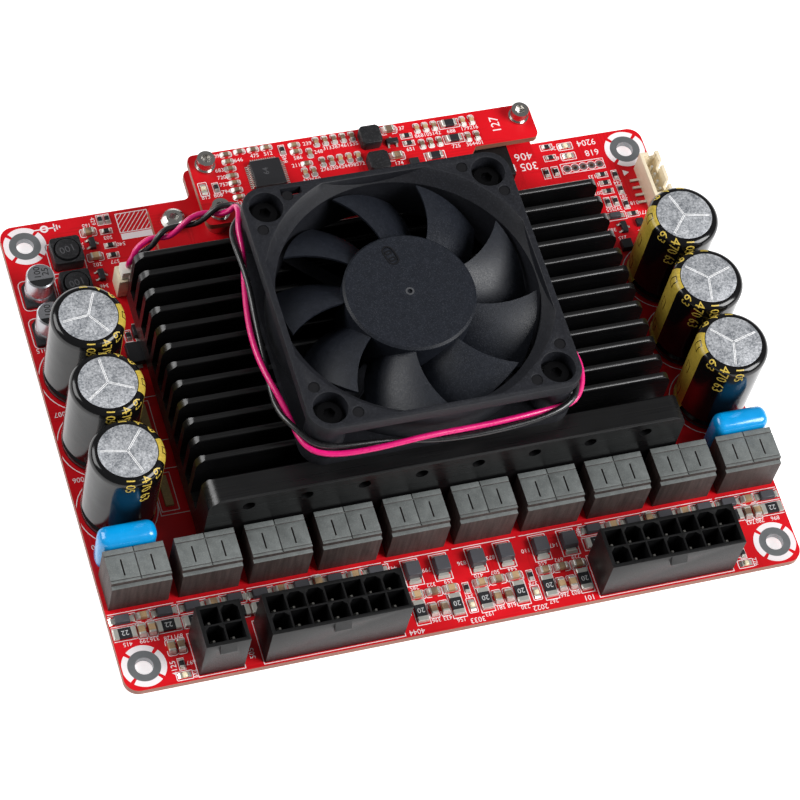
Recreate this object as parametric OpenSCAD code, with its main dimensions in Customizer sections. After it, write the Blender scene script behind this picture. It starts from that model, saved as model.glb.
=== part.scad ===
// Audio amplifier board: a main circuit board with a fan-cooled heatsink over its amplifier chips,
// output inductors and pluggable headers along the front edge, bulk capacitors at both sides and
// a stack of two small boards at the back. Millimetres, +Z up, Z = 0 on the underside of the board.

/* [Main board] */
// Length of the main board along X
board_w = 152.4; // [150:0.2:158]
// Depth of the main board along Y
board_d = 116; // [115:0.5:122]
// Thickness of every circuit board
board_t = 1.6; // [1:0.1:2]
// Corner radius of the main board
board_r = 3.2; // [1:0.1:4.5]
// Mounting hole inset from the side edges
hole_inset_x = 5; // [4:0.1:6]
// Mounting hole inset from the front and back edges
hole_inset_y = 5.4; // [4:0.1:6]
// Mounting hole diameter
hole_d = 4; // [2.6:0.1:4.6]

/* [Headers] */
// Pitch of the circuits in the power and speaker headers
header_pitch = 4.2; // [4:0.1:4.6]
// Height of the power and speaker headers
header_h = 12.8; // [11:0.1:15]
// Distance from the front edge of the board to the header faces
header_edge = 0.8; // [0:0.1:2]
// Width of one square header cell
cell_w = 3.8; // [2.8:0.1:3.9]
// Circuits in one row of a speaker header
speaker_n = 7; // [5:1:7]

/* [Output inductors] */
// Width of one output inductor
ind_w = 13; // [11:0.1:14]
// Depth of one output inductor
ind_d = 8.7; // [7:0.1:10]
// Height of one output inductor
ind_h = 10.4; // [8:0.1:14]
// Gap between neighbouring inductors
ind_gap = 2.3; // [1:0.1:4]
// Free strip between the headers and the inductors
strip_d = 8.9; // [8.4:0.1:11]

/* [Capacitors] */
// Diameter of a bulk capacitor
cap_d = 16; // [12:0.1:16.1]
// Height of a bulk capacitor
cap_h = 25; // [18:0.5:35]
// Gap between neighbouring bulk capacitors
cap_gap = 0.75; // [0.5:0.05:2]
// Length of a film capacitor
film_l = 12.6; // [9:0.1:13]
// Depth of a film capacitor
film_d = 5.2; // [4:0.1:5.4]
// Height of a film capacitor
film_h = 12.2; // [8:0.1:14]
// Radius of the rounded edges of the film capacitors
film_r = 1.4; // [0.6:0.1:1.8]

/* [Heatsink] */
// Free strip on the board beside each end of the heatsink
side_strip = 22.9; // [22:0.1:27]
// Height of the heatsink
hs_h = 18.2; // [15:0.1:26]
// Thickness of the heatsink base
base_t = 5; // [4.4:0.1:7]
// Depth of the solid front bar
bar_d = 6; // [5:0.1:8]
// Pitch of the fins
fin_pitch = 4.64; // [4:0.02:6]
// Thickness of one fin
fin_t = 1.6; // [1:0.05:2]
// Pitch of the tapped holes in the bar
bar_hole_pitch = 12.7; // [11:0.1:13]

/* [Fan] */
// Outer size of the square fan frame
fan_size = 60.4; // [59.6:0.2:64]
// Thickness of the fan
fan_t = 15; // [14:0.1:20]
// Distance of the fan screws from the edge of the frame
fan_edge = 5.1; // [4.8:0.1:5.4]
// Thickness of each fan flange
flange_t = 2.8; // [2:0.1:3.6]
// Distance of the fan duct from the edge of the frame
duct_wall = 1.6; // [1.4:0.1:2.4]
// Radius of the fan hub
hub_r = 14.4; // [13.9:0.1:16]
// Number of fan blades
blade_n = 9; // [5:1:11]
// Thickness of a fan blade
blade_t = 1.1; // [0.8:0.1:1.5]

/* [Small boards] */
// Height of the standoffs under the module board
standoff_h = 10; // [8.5:0.1:14]
// Height of the spacers under the upper board
spacer_h = 3.5; // [2.5:0.1:6]
// Length of the module board
module_w = 90.1; // [88:0.2:94]
// Depth of the module board
module_d = 21.8; // [20.5:0.1:24]
// Length of the upper board
upper_w = 80.2; // [79:0.2:81]
// Body size of the processor chip
qfp_w = 7; // [5:0.1:7.4]

/* [Hidden] */
$fn = 48;

// Edges of the main board
xr = board_w / 2;
xl = -xr;
yb = board_d / 2;
yf = -yb;
zb = board_t;
hole_x = xr - hole_inset_x;
hole_y = yb - hole_inset_y;

// Header row, from the front edge
header_d = 2 * header_pitch + 1.2;
header_y = yf + header_edge + header_d / 2;
header_back = yf + header_edge + header_d;
speaker_l = speaker_n * header_pitch + 1.2;
power_l = 2 * header_pitch + 1.2;
header_gap = 4.6;
left_x1 = -15.6;
left_x0 = left_x1 - speaker_l;
right_x0 = 29;
right_x1 = right_x0 + speaker_l;
power_x1 = left_x0 - header_gap;
power_x0 = power_x1 - power_l;
cell_floor = 2;
pin_w = 1.1;

// Inductor row behind the headers
ind_y0 = header_back + strip_d;
ind_y1 = ind_y0 + ind_d;
ind_pitch = ind_w + ind_gap;
ind_n = floor((board_w - 1 + ind_gap) / ind_pitch);

// Module board at the back edge, heatsink between it and the inductors
module_y1 = yb + 0.2;
module_y0 = module_y1 - module_d;
hs_gap = 0.4;
hs_y0 = ind_y1 + hs_gap;
hs_y1 = module_y0 - 3;
hs_d = hs_y1 - hs_y0;
hs_w = board_w - 2 * side_strip;
amp_w = 14;
amp_d = 15.6;
amp_h = 3.6;
amp_y = hs_y0 + 26;
amp_n = 5;
amp_pitch = 19;
hs_z0 = zb + amp_h;
hs_z1 = hs_z0 + hs_h;
fin_n = floor((hs_d - bar_d - fin_t - 1.5) / fin_pitch) + 1;
hs_end_r = 3;
hs_screw_x = hs_w / 2 - 7;
hs_screw_y = [hs_y0 + 12, hs_y1 - 7];
bar_hole_n = floor((hs_w - 14) / bar_hole_pitch) + 1;
m3 = 1.5;
fit = 0.05;

// Fan on the fin tops
fan_x = -1.5;
fan_y = (hs_y0 + hs_y1) / 2 + 3;
fz = hs_z1;
fz1 = fz + fan_t;
fan_screw_r = 1.25;
fan_k = fan_size / 60.4;
fan_hole = fan_size - 2 * fan_edge;
duct_r = fan_size / 2 - duct_wall;
boss_r = 4.4;
bore_r = 3.7;
bore_depth = 4.9;
head_h = 2.6;
base_z = 2;
rotor_gap = 0.7;
hub_wall = 1.2;
hub_top = fz1 - 1.8;
hub_under = hub_top - 1.4;
tube_r = 4;
bearing_r = 2.6;
shaft_r = 1.5;
blade_tip = duct_r - 0.9;
blade_root = hub_r - 0.7;
blade_top = hub_top - 0.5;
blade_low = fz + base_z + rotor_gap + 1.1;
blade_nr = 7;
blade_ns = 8;

// Film and bulk capacitors beside the heatsink
film_x = xr - 0.6 - film_l / 2;
film_y = ind_y1 + 0.3 + film_d / 2;
cap_y0 = film_y + film_d / 2 + 1 + cap_d / 2;
cap_pitch = cap_d + cap_gap;
smd_can_y = yb - 27.9;
can_r = 3.15;
cap_n = floor((smd_can_y - can_r - 0.65 - cap_y0 + cap_d / 2 + cap_gap) / cap_pitch);
cap_left = xl + 0.7 + cap_d / 2;
cap_right = xr - cap_d / 2;
shoulder_r = 1.7;
can_x = xl + 4.9;
can_pitch = 9.8;
drum_w = 6.8;
drum_h = 3.6;
drum_x = xl + 13.2;
drum_y = yb - 18.7;
drum_pitch = 8.8;

// Boards at the back
module_x0 = -module_w / 2;
module_x1 = module_w / 2;
module_lug_x = module_x0 + 10;
module_lug_y = yb - 7.2;
module_z = zb + standoff_h;
zm = module_z + board_t;
pan_x = module_x0 + 4.8;
pan_y = yb - 12.2;
upper_x1 = module_x1 + 0.6;
upper_x0 = upper_x1 - upper_w;
upper_y0 = module_y0 + 3.6;
upper_y1 = yb + 0.6;
upper_step_x = upper_x0 + 61.6;
upper_step_y = yb - 8.7;
upper_cut = [3.4, 4.6];
upper_z = zm + spacer_h;
zu = upper_z + board_t;
upper_holes = [[upper_x0 + 3.5, upper_y1 - 3.1], [upper_x0 + 3.5, upper_y0 + 2.9],
    [upper_x1 - 3.2, upper_y1 - 3.2]];
standoffs = [[pan_x, pan_y], upper_holes[1], upper_holes[2]];

// Signal header on the right edge and fan header behind the heatsink
sig_w = 4.7;
sig_l = 11.9;
sig_h = 6.3;
sig_y = yb - 16.95;
sig_n = 4;
sig_pitch = 2;
fanh_x = -hs_w / 2 + 1.8;
fanh_y = hs_y1 + 4.6;
fanh_w = 6;
fanh_d = 4.4;
fanh_h = 6;
plug_h = 8.4;

// Route of the fan lead from its plug round the fan to the block in the duct wall:
// x, y, z and the turn of the twisted pair, seen from the plug and then from the fan
wire_r = 0.6;
wire_gap = 0.8;
function from_plug(x, y, z, turn) = [fanh_x + x, fanh_y + y, zb + plug_h + z, turn];
function from_fan(x, y, z, turn) = [fan_x + x * fan_k, fan_y + y * fan_k, fz + z, turn];
lead = [from_plug(0, 0, 0.02, 0), from_plug(0.1, 0, 1.6, 0), from_plug(0.5, 0.3, 3.4, -20),
    from_plug(1.9, 0.8, 5.2, -90), from_plug(4.3, 1.2, 7, -150), from_plug(7.2, 1.4, 8.9, -270),
    from_plug(10.9, 1.5, 11, -390), from_plug(15.4, 1.6, 13.4, -520), from_plug(19.1, 1.2, 15.4, -640),
    from_fan(-28.2, 32.9, 4.4, -735), from_fan(-28.4, 31, 6, -775), from_fan(-29.2, 29, 6.8, -825),
    from_fan(-31, 25.4, 7.2, -880), from_fan(-31.4, 20, 7.4, -930), from_fan(-32.2, 12, 7.4, -1015),
    from_fan(-33.5, 2.6, 7.4, -1062), from_fan(-34, -5, 7.4, -1100),
    from_fan(-33.9, -12.4, 7.4, -1160), from_fan(-33.1, -19.6, 7.4, -1245),
    from_fan(-31.6, -24.6, 7.4, -1325), from_fan(-29.2, -29.5, 7.4, -1370),
    from_fan(-23.2, -31.4, 7.4, -1390), from_fan(-13, -31.6, 7.4, -1430),
    from_fan(-3.5, -32.2, 7.4, -1520), from_fan(5.9, -32.5, 7.4, -1560),
    from_fan(15.4, -32.1, 7.4, -1575), from_fan(23.4, -31.1, 7.4, -1620),
    from_fan(29.2, -29.3, 7.4, -1700), from_fan(31.7, -24, 7.6, -1780),
    from_fan(31.5, -19.2, 8, -1835), from_fan(30.1, -15.9, 8.2, -1890),
    [fan_x + duct_r + 0.1, fan_y - 15.9 * fan_k, fz + 8.2, -1890]];

// Sizes of the small surface-mount parts: length, width, height
cap_chip = [2.4, 1.5, 1.2];
small_chip = [1.7, 0.95, 0.65];
res_chip = [5, 2.5, 0.7];
diode_chip = [4.4, 3.4, 2.3];
sod_chip = [4.3, 2.1, 1.2];
led_chip = [2, 1.3, 0.8];
bead_chip = [3.4, 1.7, 0.9];

// Front field between the speaker headers: three alike groups of channel parts
field_x = [-6.5, 8, 22.6];
field_diode_y = yf + 14.7;
field_cap_y = yf + 9.2;
field_res_y = yf + 5.4;

// Filter parts in front of the other inductors: two diodes beside a capacitor in one row,
// two resistors beside two capacitors in the next
strip_x = [for (x = [-68.6, -53.3, -38.5, -22, 36.9, 53.6, 68.6]) x * board_w / 152.4];
strip_y = ind_y0 - 2.7;
strip_res_y = ind_y0 - 5.9;
strip_dx = 4.6;

module rrect(w, d, r) {
    square([w - 2 * r, d], center = true);
    square([w, d - 2 * r], center = true);
    for (sx = [-1, 1], sy = [-1, 1])
        translate([sx * (w / 2 - r), sy * (d / 2 - r)])
            circle(r);
}

// Plate with rounded corners between two corners of a rectangle
module plate(x0, y0, x1, y1, z, t, r) {
    translate([(x0 + x1) / 2, (y0 + y1) / 2, z])
        linear_extrude(t)
            rrect(x1 - x0, y1 - y0, r);
}

// Block on a board, centred in X and Y
module block(x, y, z, size) {
    translate([x - size[0] / 2, y - size[1] / 2, z])
        cube(size);
}

// Same block turned a quarter
module block_v(x, y, z, size) {
    block(x, y, z, [size[1], size[0], size[2]]);
}

module main_board() {
    color([0.8, 0.08, 0.1])
        difference() {
            plate(xl, yf, xr, yb, 0, board_t, board_r);
            for (sx = [-1, 1], sy = [-1, 1])
                translate([sx * hole_x, sy * hole_y, -1])
                    cylinder(d = hole_d, h = board_t + 2);
            for (sx = [-1, 1], y = hs_screw_y)
                translate([sx * hs_screw_x, y, -1])
                    cylinder(r = m3 + 0.1, h = board_t + 2);
            for (p = standoffs)
                translate([p[0], p[1], -1])
                    cylinder(r = m3 + 0.1, h = board_t + 2);
            // Empty row of plated holes at the back right
            for (i = [0 : 4])
                translate([xr - 20.2 + 2 * i, yb - 8.2, -1])
                    cylinder(d = 1, h = board_t + 2);
        }
}

module module_board() {
    color([0.75, 0.08, 0.1])
        difference() {
            union() {
                plate(module_x0, module_y0, module_x1, module_lug_y, module_z, board_t, 1.5);
                plate(module_lug_x, module_y0, module_x1, module_y1, module_z, board_t, 1.5);
                translate([module_lug_x - 1.5, module_lug_y - 0.5, module_z])
                    linear_extrude(board_t)
                        difference() {
                            square([2, 2]);
                            translate([0, 2])
                                circle(1.5);
                        }
            }
            translate([pan_x, pan_y, module_z - 1])
                cylinder(r = m3 + 0.1, h = board_t + 2);
            for (p = upper_holes)
                translate([p[0], p[1], module_z - 1])
                    cylinder(r = 1.35, h = board_t + 2);
        }
}

module upper_board() {
    color([0.8, 0.08, 0.1])
        difference() {
            union() {
                plate(upper_x0, upper_y0, upper_step_x, upper_y1, upper_z, board_t, 1.5);
                plate(upper_x0, upper_step_y, upper_x1, upper_y1, upper_z, board_t, 1.5);
                // Slanted edge in the step
                translate([upper_step_x, upper_step_y, upper_z])
                    linear_extrude(board_t)
                        polygon([[-2, 2], [upper_cut[0], 2], [upper_cut[0], 0], [0, -upper_cut[1]],
                            [-2, -upper_cut[1]]]);
            }
            for (p = upper_holes)
                translate([p[0], p[1], upper_z - 1])
                    cylinder(r = 1.35, h = board_t + 2);
        }
}

// Extruded profile of base, front bar and fins, drawn in Y and Z
module heatsink_profile() {
    translate([hs_y0, hs_z0])
        square([hs_d, base_t]);
    polygon([[hs_y0, hs_z0], [hs_y0 + bar_d, hs_z0], [hs_y0 + bar_d, hs_z1 - 0.4],
        [hs_y0 + bar_d - 0.4, hs_z1], [hs_y0 + 0.4, hs_z1], [hs_y0, hs_z1 - 0.4]]);
    for (i = [0 : fin_n - 1])
        translate([hs_y1 - fin_t / 2 - i * fin_pitch, 0]) {
            translate([-fin_t / 2, hs_z0 + 1])
                square([fin_t, hs_h - 1 - fin_t / 2]);
            translate([0, hs_z1 - fin_t / 2])
                circle(d = fin_t);
        }
}

module heatsink() {
    color([0.1, 0.1, 0.11])
        difference() {
            intersection() {
                rotate([90, 0, 90])
                    linear_extrude(hs_w, center = true)
                        heatsink_profile();
                translate([0, hs_y1 + 1, 0])
                    rotate([90, 0, 0])
                        linear_extrude(hs_d + 2) {
                            translate([0, (hs_z0 + hs_z1) / 2])
                                rrect(hs_w, hs_h, hs_end_r);
                            translate([-hs_w / 2, hs_z0])
                                square([hs_w, hs_h / 2]);
                        }
            }
            for (i = [0 : bar_hole_n - 1])
                translate([(i - (bar_hole_n - 1) / 2) * bar_hole_pitch, hs_y0 - 1, hs_z1 - 3.8])
                    rotate([-90, 0, 0])
                        cylinder(d = 2.8, h = 5.5);
            for (sx = [-1, 1], sy = [-1, 1])
                translate([fan_x + sx * fan_hole / 2, fan_y + sy * fan_hole / 2, hs_z1 - 8])
                    cylinder(r = fan_screw_r + fit, h = 9);
            for (sx = [-1, 1], y = hs_screw_y)
                translate([sx * hs_screw_x, y, hs_z0 - 1])
                    cylinder(r = m3 + fit, h = 1 + base_t - 0.8);
        }
}

module amplifier_chips() {
    color([0.08, 0.08, 0.08])
        for (i = [0 : amp_n - 1])
            block((i - (amp_n - 1) / 2) * amp_pitch, amp_y, zb, [amp_w, amp_d, amp_h]);
}

module heatsink_spacers() {
    color([0.75, 0.76, 0.78])
        for (sx = [-1, 1], y = hs_screw_y)
            translate([sx * hs_screw_x, y, zb])
                difference() {
                    cylinder(r = 3, h = amp_h);
                    translate([0, 0, -1])
                        cylinder(r = m3 + 0.1, h = amp_h + 2);
                }
}

// Pan-head screw from below, its head against the underside
module under_screw(x, y, length) {
    translate([x, y, -1.8])
        cylinder(r = 2.75, h = 1.8);
    translate([x, y, -0.5])
        cylinder(r = m3, h = length + 0.5);
}

module underside_screws() {
    color([0.75, 0.76, 0.78]) {
        for (sx = [-1, 1], y = hs_screw_y)
            under_screw(sx * hs_screw_x, y, hs_z0 + base_t - 1);
        for (p = standoffs)
            under_screw(p[0], p[1], zb + 3.5);
    }
}

module fan_frame() {
    color([0.16, 0.16, 0.17])
        translate([fan_x, fan_y, fz])
            union() {
                difference() {
                    union() {
                        linear_extrude(flange_t)
                            rrect(fan_size, fan_size, 5);
                        translate([0, 0, fan_t - flange_t])
                            linear_extrude(flange_t)
                                rrect(fan_size, fan_size, 5);
                        cylinder(r = duct_r + 1.2, h = fan_t, $fn = 96);
                        for (sx = [-1, 1], sy = [-1, 1])
                            translate([sx * fan_hole / 2, sy * fan_hole / 2, 0])
                                cylinder(r = boss_r, h = fan_t);
                        // Block where the lead comes out of the duct wall
                        translate([duct_r - 5.2, -17.4 * fan_k, 0])
                            cube([5.3, 3.2, fan_t]);
                    }
                    translate([0, 0, -1])
                        cylinder(r = duct_r, h = fan_t + 2, $fn = 96);
                    // Flared inlet, kept inside a straight rim along the sides
                    intersection() {
                        translate([0, 0, fan_t - 4])
                            cylinder(r1 = duct_r - 0.6, r2 = duct_r + 3.3, h = 5, $fn = 96);
                        translate([-duct_r - 0.2, -duct_r - 0.2, 0])
                            cube([2 * duct_r + 0.4, 2 * duct_r + 0.4, fan_t + 2]);
                    }
                    for (sx = [-1, 1], sy = [-1, 1])
                        translate([sx * fan_hole / 2, sy * fan_hole / 2, 0]) {
                            translate([0, 0, -1])
                                cylinder(r = fan_screw_r + 0.15, h = fan_t);
                            translate([0, 0, fan_t - bore_depth])
                                cylinder(r = bore_r, h = bore_depth + 1);
                            // Ejector marks beside each screw
                            translate([-sx * 5.4, sy * 2.1, fan_t - 0.3])
                                cylinder(r = 1.25, h = 1);
                            translate([sx * 2.1, -sy * 5.4, fan_t - 0.3])
                                cylinder(r = 1.25, h = 1);
                        }
                    translate([-21, 27.3, fan_t - flange_t - 1])
                        cube([4.6, 1.7, flange_t + 2]);
                }
                // Motor base on four struts, with the tube that carries the bearing
                difference() {
                    union() {
                        cylinder(r = hub_r - 0.2, h = base_z);
                        cylinder(r = tube_r, h = hub_under - fz - 2.4);
                        for (a = [0 : 3])
                            rotate(45 + 90 * a)
                                translate([hub_r - 2, -1.6, 0])
                                    cube([duct_r + 0.6 - hub_r + 2, 3.2, base_z]);
                    }
                    translate([0, 0, 0.8])
                        cylinder(r = bearing_r, h = fan_t);
                }
            }
}

// One blade: a cambered surface from the raised leading edge down to the trailing edge,
// swept forward toward the tip and thinned toward both edges
function blade_r(i) = blade_root + (blade_tip - blade_root) * i / blade_nr;
function blade_a(i, s) = 12 * pow(i / blade_nr, 1.5) - s * (36 - 5 * i / blade_nr);
function blade_half(s) = blade_t * (0.3 + 0.35 * sin(180 * s));
function blade_z(s) = blade_top - blade_t / 2 - (blade_top - blade_low - blade_t) * (0.6 * s + 0.4 * s * s);
function blade_p(i, j, side) = let (s = j / blade_ns, r = blade_r(i), a = blade_a(i, s))
    [r * cos(a), r * sin(a), blade_z(s) + side * blade_half(s)];
function blade_k(i, j, side) = (side * (blade_nr + 1) + i) * (blade_ns + 1) + j;
blade_points = [for (side = [-1, 1], i = [0 : blade_nr], j = [0 : blade_ns]) blade_p(i, j, side)];
blade_faces = concat(
    [for (i = [0 : blade_nr - 1], j = [0 : blade_ns - 1], t = [0, 1])
        t == 0 ? [blade_k(i, j, 0), blade_k(i + 1, j + 1, 0), blade_k(i + 1, j, 0)]
               : [blade_k(i, j, 0), blade_k(i, j + 1, 0), blade_k(i + 1, j + 1, 0)]],
    [for (i = [0 : blade_nr - 1], j = [0 : blade_ns - 1], t = [0, 1])
        t == 0 ? [blade_k(i, j, 1), blade_k(i + 1, j, 1), blade_k(i + 1, j + 1, 1)]
               : [blade_k(i, j, 1), blade_k(i + 1, j + 1, 1), blade_k(i, j + 1, 1)]],
    [for (i = [0 : blade_nr - 1])
        [blade_k(i, 0, 0), blade_k(i + 1, 0, 0), blade_k(i + 1, 0, 1), blade_k(i, 0, 1)]],
    [for (i = [0 : blade_nr - 1])
        [blade_k(i, blade_ns, 1), blade_k(i + 1, blade_ns, 1), blade_k(i + 1, blade_ns, 0),
            blade_k(i, blade_ns, 0)]],
    [for (j = [0 : blade_ns - 1])
        [blade_k(0, j, 1), blade_k(0, j + 1, 1), blade_k(0, j + 1, 0), blade_k(0, j, 0)]],
    [for (j = [0 : blade_ns - 1])
        [blade_k(blade_nr, j, 0), blade_k(blade_nr, j + 1, 0), blade_k(blade_nr, j + 1, 1),
            blade_k(blade_nr, j, 1)]]);

module fan_impeller() {
    color([0.13, 0.13, 0.14])
        translate([fan_x, fan_y, 0])
            difference() {
                union() {
                    rotate_extrude($fn = 72)
                        polygon([[0, fz + base_z + rotor_gap], [hub_r, fz + base_z + rotor_gap],
                            [hub_r, hub_top - 0.5], [hub_r - 0.5, hub_top], [0, hub_top]]);
                    for (k = [0 : blade_n - 1])
                        rotate(k * 360 / blade_n + 18.5)
                            polyhedron(blade_points, blade_faces, convexity = 4);
                }
                // Hollow of the cup around a central boss for the shaft
                difference() {
                    translate([0, 0, fz])
                        cylinder(r = hub_r - hub_wall, h = hub_under - fz);
                    translate([0, 0, hub_under - 1.9])
                        cylinder(r = 3.2, h = 3);
                }
                translate([0, 0, fz])
                    cylinder(r = shaft_r, h = hub_under - fz);
                translate([0, 0, hub_top - 0.4])
                    cylinder(r = 0.55, h = 1, $fn = 24);
                // Shallow oval recess in the hub face
                translate([-1.6, 9.4, hub_top - 0.2])
                    rotate(106)
                        linear_extrude(1) {
                            square([2.2, 2.4], center = true);
                            for (s = [-1, 1])
                                translate([s * 1.1, 0])
                                    circle(d = 2.4);
                        }
            }
}

module fan_rotor_ring() {
    color([0.35, 0.36, 0.38])
        translate([fan_x, fan_y, fz + base_z + rotor_gap + 0.5])
            difference() {
                cylinder(r = hub_r - hub_wall, h = 8.5);
                translate([0, 0, -1])
                    cylinder(r = hub_r - hub_wall - 2.2, h = 11);
            }
}

module fan_shaft() {
    color([0.75, 0.76, 0.78])
        translate([fan_x, fan_y, fz + 1.2])
            cylinder(r = shaft_r, h = hub_under - fz - 1.2);
}

module fan_bearing() {
    color([0.72, 0.55, 0.25])
        translate([fan_x, fan_y, fz + 0.8])
            difference() {
                cylinder(r = bearing_r, h = hub_under - fz - 3.6);
                translate([0, 0, -1])
                    cylinder(r = shaft_r + fit, h = fan_t);
            }
}

module fan_stator() {
    color([0.6, 0.35, 0.2])
        translate([fan_x, fan_y, fz + base_z])
            difference() {
                union() {
                    cylinder(r = 6, h = 7);
                    translate([0, 0, 0.8])
                        cylinder(r = hub_r - hub_wall - 3, h = 5.4);
                }
                translate([0, 0, -1])
                    cylinder(r = tube_r + 0.02, h = 10);
                for (a = [0 : 3])
                    rotate(45 + 90 * a)
                        translate([7, -0.8, -1])
                            cube([8, 1.6, 10]);
            }
}

module fan_screws() {
    color([0.12, 0.12, 0.13])
        for (sx = [-1, 1], sy = [-1, 1])
            translate([fan_x + sx * fan_hole / 2, fan_y + sy * fan_hole / 2, 0])
                difference() {
                    union() {
                        translate([0, 0, fz1 - bore_depth])
                            cylinder(r = 2.7, h = head_h);
                        translate([0, 0, fz - 7])
                            cylinder(r = fan_screw_r, h = fan_t - bore_depth + 8);
                    }
                    translate([0, 0, fz1 - bore_depth + head_h - 1.3])
                        linear_extrude(2)
                            circle(1.35, $fn = 6);
                }
}

// Tube swept along the lead; the two wires keep to opposite sides of the route and turn about it
function mid(p, i) = let (a = p[max(i - 1, 0)], b = p[i], c = p[i + 1], d = p[min(i + 2, len(p) - 1)])
    (9 * (b + c) - a - d) / 16;
function refine(p) = [for (i = [0 : len(p) - 1], t = [0, 1])
    if (t == 0 || (i > 0 && i < len(p) - 2)) t == 0 ? p[i] : mid(p, i)];
function xyz(p) = [p[0], p[1], p[2]];
function unit(v) = v / norm(v);
function run(p, i) = unit(xyz(p[min(i + 1, len(p) - 1)]) - xyz(p[max(i - 1, 0)]));
function side_of(t) = unit(cross(t, [0, sin(30), cos(30)]));
function pair_at(p, i, sign) = let (t = run(p, i), n = side_of(t), b = cross(t, n), a = p[i][3])
    xyz(p[i]) + sign * wire_gap * (cos(a) * n + sin(a) * b);
function part_of(p, a, b) = [for (i = [a : b]) p[i]];
function wire_line(sign) = let (q = refine(lead),
    p = concat(refine(part_of(q, 0, 18)), part_of(q, 19, len(q) - 1)))
    [for (i = [0 : len(p) - 1]) pair_at(p, i, sign)];
function end_run(w, i) = i == 0 ? [0, 0, 1] : i == len(w) - 1 ? [-1, 0, 0] : run(w, i);
function ring(w, i) = let (t = end_run(w, i), n = side_of(t), b = cross(t, n))
    [for (k = [0 : 7]) xyz(w[i]) + wire_r * (cos(45 * k) * n + sin(45 * k) * b)];

module wire(sign) {
    w = wire_line(sign);
    m = len(w);
    points = [for (i = [0 : m - 1]) each ring(w, i)];
    sides = [for (i = [0 : m - 2], k = [0 : 7], t = [0, 1])
        let (a = 8 * i + k, b = 8 * i + (k + 1) % 8)
            t == 0 ? [a, a + 8, b + 8] : [a, b + 8, b]];
    polyhedron(points, concat([[for (k = [0 : 7]) k]], sides, [[for (k = [7 : -1 : 0]) 8 * (m - 1) + k]]));
}

module fan_wire_pink() {
    color([0.9, 0.12, 0.45])
        wire(1);
}

module fan_wire_black() {
    color([0.05, 0.05, 0.05])
        wire(-1);
}

module fan_header() {
    color([0.9, 0.86, 0.75])
        difference() {
            block(fanh_x, fanh_y, zb, [fanh_w, fanh_d, fanh_h]);
            block(fanh_x, fanh_y, zb + 1.5, [fanh_w - 1.4, fanh_d - 1.4, fanh_h]);
            block(fanh_x, fanh_y - fanh_d / 2, zb + 3.5, [2, 2, fanh_h]);
        }
}

module fan_plug() {
    color([0.93, 0.91, 0.85])
        union() {
            block(fanh_x, fanh_y, zb + 1.5, [fanh_w - 1.4, fanh_d - 1.4, plug_h - 1.5]);
            block(fanh_x, fanh_y - 1.7, zb + 4.5, [1.6, 0.8, plug_h - 5.4]);
        }
}

// Can with a rolled groove near the foot; the sleeve rolls over the shoulder to a sunken top disc
module bulk_capacitor() {
    r = cap_d / 2;
    difference() {
        union() {
            rotate_extrude($fn = 64)
                polygon([[0, 0], [r - 0.8, 0], [r, 0.8], [r, 2.2], [r - 0.5, 2.8], [r - 0.5, 3.2], [r, 3.8],
                    [r, cap_h - shoulder_r], [0, cap_h - shoulder_r]]);
            translate([0, 0, cap_h - shoulder_r])
                rotate_extrude($fn = 64)
                    translate([r - shoulder_r, 0])
                        circle(shoulder_r, $fn = 32);
            cylinder(r = r - shoulder_r, h = cap_h, $fn = 64);
        }
        translate([0, 0, cap_h - 0.25])
            cylinder(r = r - shoulder_r - 0.3, h = 1, $fn = 64);
    }
}

module bulk_bank(x) {
    for (i = [0 : cap_n - 1])
        translate([x, cap_y0 + i * cap_pitch, zb])
            bulk_capacitor();
}

module bulk_capacitors_left() {
    color([0.07, 0.07, 0.08])
        bulk_bank(cap_left);
}

module bulk_capacitors_right() {
    color([0.07, 0.07, 0.08])
        bulk_bank(cap_right);
}

// Two moulded halves with a step at the front and a strip at the back, slots over both coils
module inductor() {
    difference() {
        union() {
            translate([-ind_w / 2, 0.9, 0])
                cube([ind_w, ind_d - 0.9, ind_h]);
            translate([-ind_w / 2, 0, 0])
                cube([ind_w, 1, ind_h - 1.1]);
        }
        translate([-ind_w, ind_d - 1.5, ind_h - 0.25])
            cube([2 * ind_w, 0.25, 1]);
        translate([-0.1, -1, ind_h - 0.25])
            cube([0.2, ind_d + 2, 1]);
        for (sx = [-1, 1])
            translate([sx * ind_w / 4 - 0.15, 2.4, ind_h - 2])
                cube([0.3, ind_d - 4.9, 3]);
        translate([-ind_w, 1.4, ind_h - 0.2])
            cube([2 * ind_w, 0.2, 1]);
    }
}

module output_inductors() {
    color([0.36, 0.37, 0.37])
        for (i = [0 : ind_n - 1])
            translate([(i - (ind_n - 1) / 2) * ind_pitch, ind_y0, zb])
                inductor();
}

// Dipped body: the front, top and side outlines with rounded corners, cut against each other
module film_capacitor(x) {
    translate([x, film_y, zb + film_h / 2])
        intersection() {
            linear_extrude(film_h + 2, center = true)
                rrect(film_l, film_d, film_r);
            rotate([90, 0, 0])
                linear_extrude(film_d + 2, center = true)
                    rrect(film_l, film_h, film_r);
            rotate([90, 0, 90])
                linear_extrude(film_l + 2, center = true)
                    rrect(film_d, film_h, film_r);
        }
}

module film_capacitor_left() {
    color([0.08, 0.6, 0.88])
        film_capacitor(-film_x);
}

module film_capacitor_right() {
    color([0.08, 0.6, 0.88])
        film_capacitor(film_x);
}

// Header cell outline; keyed cells lose the two corners at the back
module cell(keyed) {
    h = cell_w / 2;
    c = keyed ? 0.9 : 0.01;
    polygon([[-h, -h], [h, -h], [h, h - c], [h - c, h], [-h + c, h], [-h, h - c]]);
}

function keyed_cell(i, row) = row == 1 ? (i % 4 == 1 || i % 4 == 2) : (i % 4 == 0 || i % 4 == 3);

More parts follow.
